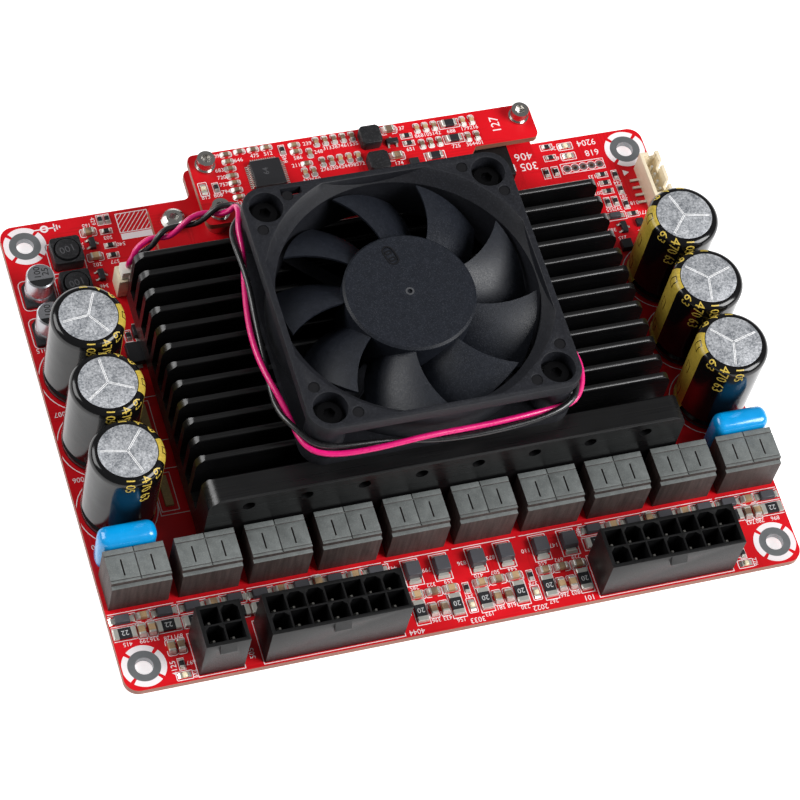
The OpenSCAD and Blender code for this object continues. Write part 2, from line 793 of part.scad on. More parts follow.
module header(x0, n) {
    length = n * header_pitch + 1.2;
    translate([x0, header_y, zb])
        difference() {
            union() {
                translate([0, -header_d / 2, 0])
                    cube([length, header_d, header_h]);
                // Latch ramp running down from the rim of the front face
                translate([length / 2 + 1.8, -header_d / 2, 0])
                    rotate([90, 0, -90])
                        linear_extrude(3.6)
                            polygon([[-0.1, header_h - 0.1], [0, header_h - 0.1], [0.9, header_h - 2.2],
                                [0.9, header_h - 2.7], [-0.1, header_h - 2.7]]);
            }
            for (i = [0 : n - 1], row = [0, 1])
                translate([0.6 + (i + 0.5) * header_pitch, (row - 0.5) * header_pitch, cell_floor])
                    linear_extrude(header_h)
                        cell(keyed_cell(i, row));
        }
}

module header_pins(x0, n) {
    for (i = [0 : n - 1], row = [0, 1])
        block(x0 + 0.6 + (i + 0.5) * header_pitch, header_y + (row - 0.5) * header_pitch, zb + cell_floor,
            [pin_w, pin_w, header_h - cell_floor - 3.4]);
}

module speaker_header_left() {
    color([0.17, 0.17, 0.18])
        header(left_x0, speaker_n);
}

module speaker_header_right() {
    color([0.17, 0.17, 0.18])
        header(right_x0, speaker_n);
}

module power_header() {
    color([0.17, 0.17, 0.18])
        header(power_x0, 2);
}

module header_contacts() {
    color([0.8, 0.8, 0.78]) {
        header_pins(left_x0, speaker_n);
        header_pins(right_x0, speaker_n);
        header_pins(power_x0, 2);
    }
}

module signal_header() {
    color([0.92, 0.89, 0.8])
        difference() {
            block(xr - sig_w / 2, sig_y, zb, [sig_w, sig_l, sig_h]);
            block(xr - sig_w / 2, sig_y, zb + 1.5, [sig_w - 1.6, sig_l - 1.8, sig_h]);
            block(xr, sig_y + 2.6, zb + 3, [3, 1.4, sig_h]);
            block(xr, sig_y - 2.6, zb + 3, [3, 1.4, sig_h]);
            block(xr - sig_w / 2 + 0.6, sig_y + sig_l / 2, zb + 4.6, [1.6, 3, sig_h]);
        }
}

module signal_contacts() {
    color([0.8, 0.8, 0.78])
        for (i = [0 : sig_n - 1]) {
            block(xr - sig_w / 2, sig_y - 0.3 + (i - (sig_n - 1) / 2) * sig_pitch, zb + 1.5, [0.5, 0.5, 3.6]);
            block(xr - sig_w - 1, sig_y - 0.3 + (i - (sig_n - 1) / 2) * sig_pitch, zb, [2, 0.6, 0.35]);
        }
}

module smd_capacitor_cans() {
    color([0.8, 0.8, 0.82])
        for (y = [smd_can_y, smd_can_y + can_pitch])
            translate([can_x, y, zb + 1])
                rotate_extrude()
                    polygon([[0, 0], [can_r, 0], [can_r, 1.4], [can_r - 0.25, 1.7], [can_r - 0.25, 2],
                        [can_r, 2.3], [can_r, 6.4], [can_r - 0.3, 6.7], [0, 6.7]]);
}

module smd_capacitor_bases() {
    color([0.06, 0.06, 0.06])
        for (y = [smd_can_y, smd_can_y + can_pitch])
            translate([can_x, y, zb])
                linear_extrude(1)
                    polygon([[-3.4, -3.4], [3.4, -3.4], [3.4, 2], [2, 3.4], [-2, 3.4], [-3.4, 2]]);
}

// Square shield tile with a ring gap round the drum in its middle
module drum_inductor(x, y, z, w, h) {
    translate([x, y, z])
        difference() {
            union() {
                linear_extrude(h - 0.3)
                    rrect(w, w, w / 8);
                cylinder(d = 0.78 * w, h = h);
            }
            translate([0, 0, h - 1.2])
                difference() {
                    cylinder(d = 0.88 * w, h = 2);
                    translate([0, 0, -1])
                        cylinder(d = 0.78 * w, h = 4);
                }
        }
}

module power_inductors() {
    color([0.3, 0.3, 0.31])
        for (i = [0, 1])
            drum_inductor(drum_x, drum_y + drum_pitch * i, zb, drum_w, drum_h);
}

// Moulded tile with bevelled corners
module moulded_inductor(x, y, z, w, h) {
    e = w / 2;
    c = w / 2 - w / 7;
    translate([x, y, z])
        linear_extrude(h)
            polygon([[-c, -e], [c, -e], [e, -c], [e, c], [c, e], [-c, e], [-e, c], [-e, -c]]);
}

module upper_inductors() {
    color([0.4, 0.4, 0.4])
        for (i = [0, 1])
            moulded_inductor(upper_x0 + 41.5, upper_y1 - 3.4 - 6.9 * i, zu, 4.8, 2.8);
}

module processor_chip() {
    x = upper_x0 + 16.5;
    y = upper_y1 - 8.2;
    color([0.09, 0.09, 0.1]) {
        block(x, y, zu + 0.1, [qfp_w, qfp_w, 1.4]);
        for (i = [0 : 11], q = [0 : 3])
            translate([x, y, zu])
                rotate(90 * q)
                    translate([qfp_w / 2 - 0.1, (i - 5.5) * 0.5 - 0.12, 0])
                        cube([1.1, 0.24, 0.5]);
    }
}

module chip_capacitors() {
    color([0.68, 0.55, 0.4]) {
        for (x = field_x) {
            for (dx = [-3.8, 0, 3.9])
                block(x + dx, field_cap_y, zb, cap_chip);
            for (dx = [-1.3, 1.2])
                block_v(x + dx, field_res_y - 0.3, zb, cap_chip);
        }
        // Strip in front of the inductors
        for (x = strip_x) {
            block(x, strip_y, zb, cap_chip);
            for (dx = [-1.1, 1.1])
                block_v(x + dx, strip_res_y, zb, cap_chip);
        }
        for (x = [(strip_x[2] + strip_x[3]) / 2, (strip_x[4] + strip_x[5]) / 2])
            block_v(x, strip_y, zb, cap_chip);
        for (dx = [0, 2.1])
            block_v(power_x0 - 2.1 - dx, header_y + 2.7, zb, cap_chip);
        // Beside the film capacitor and near the power inductors
        block_v(xl + 14.6, film_y, zb, cap_chip);
        for (y = [yb - 4.5, yb - 11.1])
            block(xl + 19.6, y, zb, cap_chip);
        // Upper board
        for (i = [0 : 4], y = [upper_y1 - 1.6, upper_y1 - 7])
            block_v(upper_x0 + 29.6 + 2.08 * i, y, zu, small_chip);
        for (i = [0 : 6])
            block(upper_x0 + 8.8, upper_y1 - 1.2 - 1.9 * i, zu, small_chip);
        for (y = [upper_y1 - 2.2, upper_y1 - 6.5], x = [53.1, 55.15, 57.2, 64, 66.1])
            block_v(upper_x0 + x, y, zu, small_chip);
        block(upper_x0 + 46.6, upper_y1 - 1.5, zu, cap_chip);
        block(upper_x0 + 46.5, upper_y1 - 8.6, zu, cap_chip);
        for (i = [0 : 2])
            block(upper_x0 + 12 + 3.1 * i, upper_y1 - 1, zu, small_chip);
        for (i = [0, 1])
            block(upper_x0 + 24.5, upper_y1 - 1.5 - 1.8 * i, zu, small_chip);
        block(upper_x0 + 26, upper_y1 - 6.8, zu, small_chip);
        for (i = [0, 1])
            block_v(upper_x0 + 25 + 2 * i, upper_y1 - 9.1, zu, small_chip);
        block_v(upper_x0 + 27.4, upper_y1 - 4.2, zu, small_chip);
    }
}

module chip_resistors() {
    color([0.1, 0.1, 0.11]) {
        for (x = field_x, dx = [-4.1, 4])
            block_v(x + dx, field_res_y, zb, res_chip);
        for (i = [0, 1])
            block_v((field_x[i] + field_x[i + 1]) / 2, field_cap_y - 0.5, zb, small_chip);
        for (x = strip_x, s = [-1, 1])
            block(x + s * (strip_dx + 0.1), strip_res_y, zb, res_chip);
        block_v(power_x0 - 3.1, header_y - 1.4, zb, small_chip);
        block_v(right_x1 + 3.5, header_y - 1.4, zb, small_chip);
        // Right side, towards the signal header
        for (i = [0 : 2])
            block(xr - 12.6, yb - 11.3 - 2.3 * i, zb, small_chip);
        for (i = [0 : 2])
            block_v(xr - 9.6, yb - 11.9 - 4.05 * i, zb, small_chip);
        for (i = [0, 1])
            block_v(xr - 13.7 + 1.9 * i, yb - 18.8, zb, small_chip);
        block(xr - 8.8, yb - 22.9, zb, small_chip);
        // Left side
        for (i = [0, 1])
            block_v(xl + 22.9 + 1.6 * i, yb - 1.8, zb, small_chip);
        for (y = [yb - 4.9, yb - 8.7, yb - 11.3])
            block(xl + 23.6, y, zb, small_chip);
        // Upper board
        block_v(upper_x0 + 4.4, upper_y1 - 9.3, zu, small_chip);
        block_v(upper_x0 + 21.5, upper_y1 - 2.3, zu, small_chip);
        for (i = [0, 1])
            block(upper_x0 + 50.2, upper_y1 - 3.7 - 2 * i, zu, small_chip);
        for (y = [upper_y1 - 2.3, upper_y1 - 6.4])
            block(upper_x0 + 60.65, y, zu, bead_chip);
        block(upper_x0 + 55.1, upper_y1 - 10.1, zu, bead_chip);
    }
}

// Moulded body tapered toward the top, on two end terminals
module diode(x, y, z, size, turned) {
    l = size[0];
    w = size[1];
    h = size[2];
    translate([x, y, z])
        rotate(turned ? 90 : 0) {
            rotate([90, 0, 0])
                linear_extrude(w, center = true)
                    polygon([[-l / 2 + 0.5, 0.15], [l / 2 - 0.5, 0.15], [l / 2 - 0.3, h / 2],
                        [l / 2 - 0.6, h],
                        [-l / 2 + 0.6, h], [-l / 2 + 0.3, h / 2]]);
            for (s = [-1, 1])
                block(s * (l / 2 - 0.35), 0, 0, [0.9, w * 0.6, h * 0.45]);
        }
}

module diodes() {
    color([0.1, 0.1, 0.1]) {
        for (x = field_x, dx = [-3.2, 3.3])
            diode(x + dx, field_diode_y, zb, diode_chip, true);
        for (x = strip_x, s = [-1, 1])
            diode(x + s * strip_dx, strip_y, zb, sod_chip, false);
        diode(xr - 13.3, yb - 22.8, zb, [3.6, 1.6, 1.1], false);
    }
}

module status_leds() {
    color([0.95, 0.92, 0.8]) {
        for (i = [0, 1])
            block_v((field_x[i] + field_x[i + 1]) / 2, field_res_y - 0.9, zb, led_chip);
        block(power_x0 - 3.1, yf + 1.5, zb, led_chip);
        block(right_x1 + 3.4, yf + 1.6, zb, led_chip);
        for (i = [0, 1])
            block(xr - 18.8, yb - 2.1 - 2.8 * i, zb, led_chip);
        block_v(upper_x0 + 1.6, upper_y1 - 9.2, zu, led_chip);
    }
}

// Three-lead chip
module sot(x, y, z) {
    block(x, y, z + 0.1, [1.4, 2.9, 1]);
    for (dy = [-0.95, 0.95])
        block(x - 0.95, y + dy, z, [0.7, 0.4, 0.4]);
    block(x + 0.95, y, z, [0.7, 0.4, 0.4]);
}

module small_chips() {
    color([0.08, 0.08, 0.09]) {
        for (y = [yb - 7.7, yb - 16.1])
            sot(xl + 19.7, y, zb);
        sot(xr - 12.2, yb - 26.2, zb);
        translate([upper_x0 + 46.4, upper_y1 - 4.8, 0])
            rotate(90)
                sot(0, 0, zu);
        block(upper_x0 + 49.9, upper_y1 - 11, zu, [2.2, 2, 0.9]);
        translate([xr - 13.3, yb - 31.1, zb])
            cylinder(d = 2.6, h = 1.6);
        block(xr - 8.1, yb - 25.6, zb, [1.8, 2, 1]);
    }
}

// Long low strips on the board beside the left end of the heatsink
module thermal_strips() {
    color([0.62, 0.5, 0.33])
        for (y = [hs_y0 + 16, hs_y0 + 34])
            block((cap_left + cap_d / 2 - hs_w / 2) / 2, y, zb, [1.8, 7.2, 0.8]);
}

// Hexagonal posts, bored for the screws from below and for those from above
module module_standoffs() {
    color([0.75, 0.76, 0.78])
        for (i = [0 : 2])
            translate([standoffs[i][0], standoffs[i][1], zb])
                difference() {
                    cylinder(r = 3.2, h = standoff_h, $fn = 6);
                    translate([0, 0, -1])
                        cylinder(r = m3 + fit, h = 5, $fn = 32);
                    translate([0, 0, standoff_h - 3.8])
                        cylinder(r = (i == 0 ? m3 : 1.25) + fit, h = 5, $fn = 32);
                }
}

module module_screw() {
    color([0.75, 0.76, 0.78])
        translate([pan_x, pan_y, zm])
            difference() {
                union() {
                    rotate_extrude()
                        polygon([[0, 0], [2.85, 0], [2.85, 0.6], [2.4, 1.4], [1.8, 1.75], [0, 1.75]]);
                    translate([0, 0, -board_t - 3.4])
                        cylinder(r = m3, h = board_t + 3.6);
                }
                translate([0, 0, 0.6])
                    linear_extrude(2)
                        circle(1.15, $fn = 6);
            }
}

module upper_spacers() {
    color([0.75, 0.76, 0.78])
        for (p = upper_holes)
            translate([p[0], p[1], zm])
                difference() {
                    cylinder(r = 2.3, h = spacer_h);
                    translate([0, 0, -1])
                        cylinder(r = 1.3, h = spacer_h + 2);
                }
}

module upper_screws() {
    color([0.78, 0.79, 0.8])
        for (p = upper_holes)
            translate([p[0], p[1], 0])
                difference() {
                    union() {
                        translate([0, 0, zu])
                            cylinder(r = 2.3, h = 0.5);
                        translate([0, 0, zu + 0.4])
                            cylinder(r = 2, h = 2.4);
                        translate([0, 0, module_z - 3])
                            cylinder(r = 1.25, h = zu - module_z + 3.2);
                    }
                    translate([0, 0, zu + 1.4])
                        linear_extrude(3)
                            circle(1.15, $fn = 6);
                }
}

module board_connectors() {
    color([0.1, 0.1, 0.1]) {
        block(0, module_y0 + 4, zb, [20.3, 5, standoff_h]);
        block(0, module_y1 - 6, zm, [16, 5, spacer_h]);
        // Low socket in the step of the upper board
        block(upper_step_x + 6.1, upper_step_y - 3.4, zm, [10, 8.4, spacer_h - 0.3]);
    }
}

module joint(x, y) {
    translate([x, y, -1.1])
        cylinder(r1 = 0.5, r2 = 1.1, h = 1.1, $fn = 24);
}

module solder_joints() {
    color([0.75, 0.76, 0.76]) {
        for (s = [-1, 1]) {
            for (i = [0 : cap_n - 1], dy = [-3.75, 3.75])
                joint(s < 0 ? cap_left : cap_right, cap_y0 + i * cap_pitch + dy);
            for (dx = [-3.75, 3.75])
                joint(s * film_x + dx, film_y);
        }
        for (i = [0 : ind_n - 1], s = [-1, 1])
            joint((i - (ind_n - 1) / 2) * ind_pitch + s * ind_w / 4, ind_y0 + ind_d / 2);
        for (i = [0 : speaker_n - 1], row = [-0.5, 0.5], x0 = [left_x0, right_x0])
            joint(x0 + 0.6 + (i + 0.5) * header_pitch, header_y + row * header_pitch);
        for (i = [0, 1], row = [-0.5, 0.5])
            joint(power_x0 + 0.6 + (i + 0.5) * header_pitch, header_y + row * header_pitch);
    }
}

main_board();
module_board();
upper_board();
heatsink();
amplifier_chips();
heatsink_spacers();
underside_screws();
fan_frame();
fan_impeller();
fan_rotor_ring();
fan_shaft();
fan_bearing();
fan_stator();
fan_screws();
fan_wire_pink();
fan_wire_black();
fan_plug();
fan_header();
bulk_capacitors_left();
bulk_capacitors_right();
output_inductors();
film_capacitor_left();
film_capacitor_right();
speaker_header_left();
speaker_header_right();
power_header();
header_contacts();
signal_header();
signal_contacts();
smd_capacitor_cans();
smd_capacitor_bases();
power_inductors();
upper_inductors();
processor_chip();
chip_capacitors();
chip_resistors();
diodes();
status_leds();
small_chips();
thermal_strips();
module_standoffs();
upper_spacers();
upper_screws();
module_screw();
board_connectors();
solder_joints();
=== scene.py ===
# %% [markdown]
# # An audio amplifier board, dressed in Blender
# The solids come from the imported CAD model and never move. This script gives each of them a finish, and
# adds what a CAD model leaves out: printed marks on the board, the metal ends of the chips, the scored tops
# of the capacitors and the bevels on which moulded edges catch the light. Lengths in the code are
# millimetres and angles are degrees; a piece is scaled to metres when it is finished.

# %% load the solids
import math
from functools import cache, partialmethod

import bmesh
import bpy
from mathutils import Matrix, Vector


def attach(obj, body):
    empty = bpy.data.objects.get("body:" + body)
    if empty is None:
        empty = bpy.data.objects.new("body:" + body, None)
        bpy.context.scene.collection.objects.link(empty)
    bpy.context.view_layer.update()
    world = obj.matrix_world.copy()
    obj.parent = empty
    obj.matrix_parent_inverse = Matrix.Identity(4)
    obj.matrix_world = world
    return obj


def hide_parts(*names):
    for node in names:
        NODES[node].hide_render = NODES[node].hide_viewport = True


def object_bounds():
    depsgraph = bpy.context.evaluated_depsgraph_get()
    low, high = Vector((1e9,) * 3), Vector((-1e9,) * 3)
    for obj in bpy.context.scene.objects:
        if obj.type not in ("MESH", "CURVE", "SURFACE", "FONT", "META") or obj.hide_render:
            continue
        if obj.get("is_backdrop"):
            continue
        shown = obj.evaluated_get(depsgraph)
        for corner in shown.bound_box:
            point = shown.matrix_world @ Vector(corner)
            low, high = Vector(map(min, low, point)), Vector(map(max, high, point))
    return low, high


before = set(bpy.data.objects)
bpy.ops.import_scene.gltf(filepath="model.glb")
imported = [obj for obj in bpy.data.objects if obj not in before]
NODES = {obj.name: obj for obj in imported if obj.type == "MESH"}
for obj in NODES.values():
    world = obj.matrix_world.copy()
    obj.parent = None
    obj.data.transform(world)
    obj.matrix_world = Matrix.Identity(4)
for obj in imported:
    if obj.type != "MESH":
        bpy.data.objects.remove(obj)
cad_low, cad_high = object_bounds()
# Heights of the upper faces of the main, the module and the upper board
BOARD_T, MODULE_TOP, UPPER_TOP = 1.6, 13.2, 18.3
print("CAD box, mm:", [round(1000 * (b - a), 1) for a, b in zip(cad_low, cad_high)])


def put(name, data):
    """Puts a new object into the scene."""
    made = bpy.data.objects.new(name, data)
    bpy.context.scene.collection.objects.link(made)
    return made


# %% [markdown]
# ## The camera
# A photograph fixes its camera by its lens and by where it stood. The place, the three turns and the lens
# below were solved from points whose distances are known, such as the pitch of the plug headers. A camera
# looks along its own -Z, so its matrix has the right, up and backward directions as columns.

# %% camera at the photograph's angle
def stand_camera(place_mm, azimuth, elevation, roll, lens_mm):
    a, e, r = (math.radians(t) for t in (azimuth, elevation, roll))
    back = Vector((math.sin(a) * math.cos(e), -math.cos(a) * math.cos(e), math.sin(e)))
    right = Vector((0, 0, 1)).cross(back).normalized()
    up = back.cross(right)
    right, up = (math.cos(r) * right + math.sin(r) * up, math.cos(r) * up - math.sin(r) * right)
    turn = Matrix((right, up, back)).transposed().to_4x4()
    data = bpy.data.cameras.new("camera")
    data.sensor_width, data.lens = 36, lens_mm
    data.clip_start, data.clip_end = 0.05, 20
    camera = put("camera", data)
    camera.matrix_world = Matrix.Translation(Vector(place_mm) / 1000) @ turn
    bpy.context.scene.camera = camera
    return camera


camera = stand_camera(place_mm=(-212.673, -352.837, 660.079 + BOARD_T),
                      azimuth=-31.205, elevation=58.125, roll=17.034, lens_mm=159.546)
print("camera at", [round(x, 3) for x in camera.location])

# %% [markdown]
# ## Writing shaders as expressions
# A finish is a small node tree. Node trees are hard to read as a list of links, so one class wraps a socket
# and lets Python's own operators add the Math nodes: `1 - mask` or `noise * 0.2` then read as they would on
# paper. A second class holds one material and makes any other kind of node.

# %% a number that varies over a surface
class Field:
    def __init__(self, finish, socket):
        self.finish, self.socket = finish, socket

    def math(self, operation, other=None, swapped=False):
        terms = [self] if other is None else [other, self] if swapped else [self, other]
        return self.finish.node("Math", {"operation": operation}, dict(enumerate(terms)))

    __add__ = partialmethod(math, "ADD")
    __sub__ = partialmethod(math, "SUBTRACT")
    __rsub__ = partialmethod(math, "SUBTRACT", swapped=True)
    __mul__ = __rmul__ = partialmethod(math, "MULTIPLY")
    __mod__ = partialmethod(math, "FLOORED_MODULO")
    __pow__ = partialmethod(math, "POWER")
    __lt__ = partialmethod(math, "LESS_THAN")
    __gt__ = partialmethod(math, "GREATER_THAN")
    __abs__ = partialmethod(math, "ABSOLUTE")


# %% one material and its nodes
class Finish:
    def __init__(self, name, colour, roughness, metallic=0.0, coat=0.0, specular=0.5):
        self.material = bpy.data.materials.new(name)
        self.material.use_nodes = True
        self.tree = self.material.node_tree
        self.shader = self.tree.nodes["Principled BSDF"]
        self.feed("Base Color", (*colour, 1.0))
        self.feed("Roughness", roughness)
        self.feed("Metallic", metallic)
        self.feed("Coat Weight", coat)
        self.feed("Coat Roughness", 0.08)
        self.feed("Specular IOR Level", specular)
        self.material.diffuse_color = (*colour, 1.0)

    def feed(self, socket, value):
        if isinstance(value, Field):
            self.tree.links.new(value.socket, self.shader.inputs[socket])
        else:
            self.shader.inputs[socket].default_value = value
        return self

    def node(self, kind, settings=None, sockets=None, out=0):
        node = self.tree.nodes.new("ShaderNode" + kind)
        for key, value in (settings or {}).items():
            setattr(node, key, value)
        for key, value in (sockets or {}).items():
            if isinstance(value, Field):
                self.tree.links.new(value.socket, node.inputs[key])
            else:
                node.inputs[key].default_value = value
        if isinstance(out, tuple):
            return [Field(self, node.outputs[o]) for o in out]
        return Field(self, node.outputs[out])

    def place(self, scale=(1000, 1000, 1000)):
        where = self.node("TexCoord", out="Object")
        return self.node("Mapping", {}, {"Vector": where, "Scale": scale})

    def xyz(self):
        return self.node("SeparateXYZ", {}, {0: self.place()}, (0, 1, 2))

    def facing_up(self):
        """How far the surface faces up or down: 1 on a level face, 0 on an upright one."""
        return abs(self.node("SeparateXYZ", {}, {0: self.node("NewGeometry", out="Normal")}, 2))

    def noise(self, size, detail=2.0, stretch=(1, 1, 1), rough=0.5):
        """Smooth noise from 0 to 1 whose lumps are about `size` millimetres across."""
        scale = tuple(1000 / size / s for s in stretch)
        return self.node("TexNoise", {}, {"Vector": self.place(scale), "Scale": 1.0,
                                          "Detail": detail, "Roughness": rough})

    def grains(self, size):
        """A flat random number for each grain of about `size` millimetres."""
        where = self.place((1000 / size,) * 3)
        colour = self.node("TexVoronoi", {}, {"Vector": where, "Scale": 1.0}, "Color")
        return self.node("SeparateColor", {}, {0: colour}, 0)

    def tint(self, amount, first, second):
        """The colour between two colours, by a number from 0 to 1."""
        return self.node("Mix", {"data_type": "RGBA"}, {0: amount, 6: first, 7: second}, 2)

    def between(self, value, low, high, start=0.0, end=1.0):
        """A number stretched from low..high to start..end and held there."""
        return self.node("MapRange", {"clamp": True}, {0: value, 1: low, 2: high, 3: start, 4: end})

    def bump(self, height, depth_mm):
        """Raises the surface by the height field, by at most that many millimetres."""
        raised = self.node("Bump", {}, {"Strength": 1.0, "Distance": depth_mm / 1000, "Height": height})
        return self.feed("Normal", raised)


def shade(r, g, b):
    """A colour read off the photograph, 0 to 255, as the linear colour that Blender works in."""
    return tuple((c / 255 / 12.92) if c <= 10 else ((c / 255 + 0.055) / 1.055) ** 2.4 for c in (r, g, b))


def toned(colour, factor=1.0):
    """A linear colour made darker or lighter, with the alpha that a colour socket wants."""
    return (*(min(1, c * factor) for c in colour), 1.0)


def rgba(r, g, b):
    return toned(shade(r, g, b))


# %% [markdown]
# ## Finishes
# Each real surface has a cause: solder resist is a thin film over copper, anodised aluminium keeps the fine
# lines of the extrusion die, moulded plastic copies the spark-eroded skin of its mould. Every finish below
# starts from the colour in the photograph, and noise at the true scale breaks it up.

# %% circuit board
def board_finish():
    f = Finish("solder resist", shade(206, 8, 22), 0.42, specular=0.28)
    x, y, _ = f.xyz()
    wide = f.noise(14, 2)
    grain = f.noise(0.35, 3)
    # Tracks under the resist: strips of copper along X and along Y, each only in some fields of the board
    pitch_y, pitch_x = 0.8, 0.9
    along = f.between(abs((y % pitch_y) - pitch_y / 2), 0.16, 0.2)
    across = f.between(abs((x % pitch_x) - pitch_x / 2), 0.18, 0.22)
    along = along * f.between(f.noise(11, 1, (3, 0.5, 1)), 0.6, 0.62)
    across = across * f.between(f.noise(13, 1, (0.5, 3, 1)), 0.62, 0.64)
    copper = along.math("MAXIMUM", across)
    face = f.tint(f.between(wide, 0.3, 0.7), rgba(198, 6, 20), rgba(214, 10, 26))
    face = f.tint(copper * 0.4, face, rgba(182, 5, 16))
    layers = f.noise(0.3, 2, (60, 60, 1))
    edge = f.tint(layers, rgba(168, 116, 92), rgba(122, 70, 58))
    f.feed("Base Color", f.tint(f.between(f.facing_up(), 0.4, 0.6), edge, face))
    f.feed("Roughness", f.between(grain, 0.3, 0.7, 0.36, 0.5))
    return f.bump(copper + 0.25 * grain, 0.012)


BOARD = board_finish()


# %% metals
def heatsink_finish():
    f = Finish("black anodised", shade(11, 11, 12), 0.32, specular=0.5)
    lines = f.noise(0.3, 3, (70, 1, 1))
    patches = f.noise(6, 3)
    f.feed("Base Color", f.tint(f.between(patches, 0.3, 0.7), rgba(8, 8, 9), rgba(14, 14, 15)))
    f.feed("Roughness", f.between(lines, 0.25, 0.75, 0.24, 0.4))
    return f.bump(lines + 0.5 * f.noise(0.25, 2), 0.012)


def metal_finish(name, colour, roughness, speck=0.2, metallic=1.0):
    """Plated or drawn metal: a fine grain in its gloss, and a slow, weak drift of tone."""
    f = Finish(name, colour, roughness, metallic=metallic)
    fine = f.noise(speck, 2)
    slow = f.noise(2.5, 2)
    f.feed("Base Color", f.tint(f.between(slow, 0.3, 0.7), toned(colour, 0.88), toned(colour)))
    return f.feed("Roughness", f.between(fine, 0.25, 0.75, roughness - 0.04, roughness + 0.06))


def can_top_finish():
    f = Finish("capacitor top", shade(170, 172, 176), 0.5, metallic=0.5)
    grit = f.noise(0.42, 5, rough=0.75)
    cloud = f.noise(3, 3)
    spots = f.between(0.75 * grit + 0.25 * cloud, 0.4, 0.62)
    f.feed("Base Color", f.tint(spots, rgba(116, 120, 126), rgba(214, 216, 220)))
    f.feed("Roughness", f.between(grit, 0.3, 0.7, 0.4, 0.62))
    return f.bump(grit, 0.03)


HEATSINK = heatsink_finish()
NICKEL = metal_finish("nickel plate", shade(206, 204, 200), 0.2)
TIN = metal_finish("tin plate", shade(226, 224, 216), 0.34, metallic=0.75)
STEEL = metal_finish("plain steel", shade(150, 151, 154), 0.36)
BRONZE = metal_finish("sintered bronze", shade(176, 132, 80), 0.45)
BLACK_SCREW = metal_finish("black oxide", shade(40, 40, 42), 0.34)
COPPER = metal_finish("enamelled copper", shade(168, 98, 60), 0.35)
CAN = metal_finish("drawn aluminium", shade(196, 197, 202), 0.3, 0.3)
PAD = metal_finish("bare pad", shade(160, 163, 166), 0.36, 0.3, 0.85)
CAN_TOP = can_top_finish()


# %% moulded and fired bodies
def moulded(name, colour, roughness, lump=0.22, depth=0.02, spread=0.25, coat=0.0, specular=0.5):
    """Moulded plastic or ceramic: fine pits from the mould and a slow drift of tone."""
    f = Finish(name, colour, roughness, coat=coat, specular=specular)
    fine = f.noise(lump, 3)
    slow = f.noise(5, 2)
    dark, light = toned(colour, 1 - spread), toned(colour, 1 + spread)
    f.feed("Base Color", f.tint(f.between(0.6 * fine + 0.4 * slow, 0.35, 0.65), dark, light))
    f.feed("Roughness", f.between(fine, 0.3, 0.7, roughness - 0.06, roughness + 0.08))
    return f.bump(fine, depth)


def pressed_powder(name, base, fleck, roughness, size, upright_shade_and_streaks=None):
    """Grainy skin of pressed powder, or of plastic from a spark-eroded mould: paler grains lie among the
    dark ones. Upright faces may carry the lines of the press over a darker tone that is painted shade."""
    f = Finish(name, base, roughness, specular=0.3)
    pick = f.grains(size)
    cloud = f.noise(1.6, 4)
    body = f.tint(f.between(cloud, 0.3, 0.7), toned(base, 0.84), toned(base, 1.12))
    grainy = f.tint(f.between(pick, 0.7, 1.0, 0, 0.5), body, toned(fleck))
    if upright_shade_and_streaks:
        # Upright faces: real press lines over a tone darker than the top, and that darker tone is painted
        # shade.
        lines = f.noise(0.7, 3, (1, 1, 14))
        side = f.tint(f.between(lines, 0.35, 0.68), toned(upright_shade_and_streaks), toned(upright_shade_and_streaks, 1.9))
        grainy = f.tint(f.between(f.facing_up(), 0.4, 0.6), side, grainy)
    f.feed("Base Color", grainy)
    f.feed("Roughness", f.between(pick, 0, 1, roughness - 0.06, roughness + 0.08))
    return f.bump(pick, 0.008)


def fired_ceramic(name, tan, brown):
    """Chip bodies come from many reels, so a slow noise gives each chip a tone of its own."""
    f = Finish(name, tan, 0.36)
    reel = f.noise(5.5, 1)
    fine = f.noise(0.25, 3)
    f.feed("Base Color", f.tint(f.between(0.85 * reel + 0.15 * fine, 0.4, 0.58), toned(tan), toned(brown)))
    f.feed("Roughness", f.between(fine, 0.3, 0.7, 0.3, 0.44))
    return f.bump(fine, 0.01)


FAN = pressed_powder("fan plastic", shade(25, 26, 31), shade(46, 48, 54), 0.5, 0.2)
FAN_DARK = moulded("ejector mark plastic", shade(16, 16, 19), 0.6, 0.3, 0.02, 0.2, specular=0.2)
FAN_PALE = moulded("gate mark plastic", shade(70, 71, 74), 0.5, 0.3, 0.02, 0.2, specular=0.3)
IMPELLER = pressed_powder("impeller plastic", shade(25, 28, 35), shade(46, 49, 57), 0.42, 0.2)
HEADER = moulded("header nylon", shade(9, 9, 10), 0.42, 0.25, 0.012, 0.2, specular=0.32)
CREAM = moulded("cream nylon", shade(228, 214, 186), 0.42, 0.3, 0.012, 0.06)
WHITE = moulded("white nylon", shade(236, 232, 222), 0.4, 0.3, 0.012, 0.05)
EPOXY = moulded("moulded epoxy", shade(34, 34, 37), 0.46, 0.18, 0.012, 0.2, specular=0.4)
RECTIFIER = moulded("rectifier epoxy", shade(72, 72, 77), 0.5, 0.18, 0.012, 0.12, specular=0.4)
CERAMIC = fired_ceramic("fired ceramic", shade(190, 158, 118), shade(112, 92, 76))
LENS = moulded("lamp lens", shade(236, 224, 190), 0.25, 0.4, 0.01, 0.08, coat=0.4)
BLUE = moulded("dipped epoxy", shade(2, 152, 222), 0.22, 2.2, 0.04, 0.06, coat=0.3)
STRIP = moulded("strip", shade(168, 142, 96), 0.5, 0.4, 0.02)
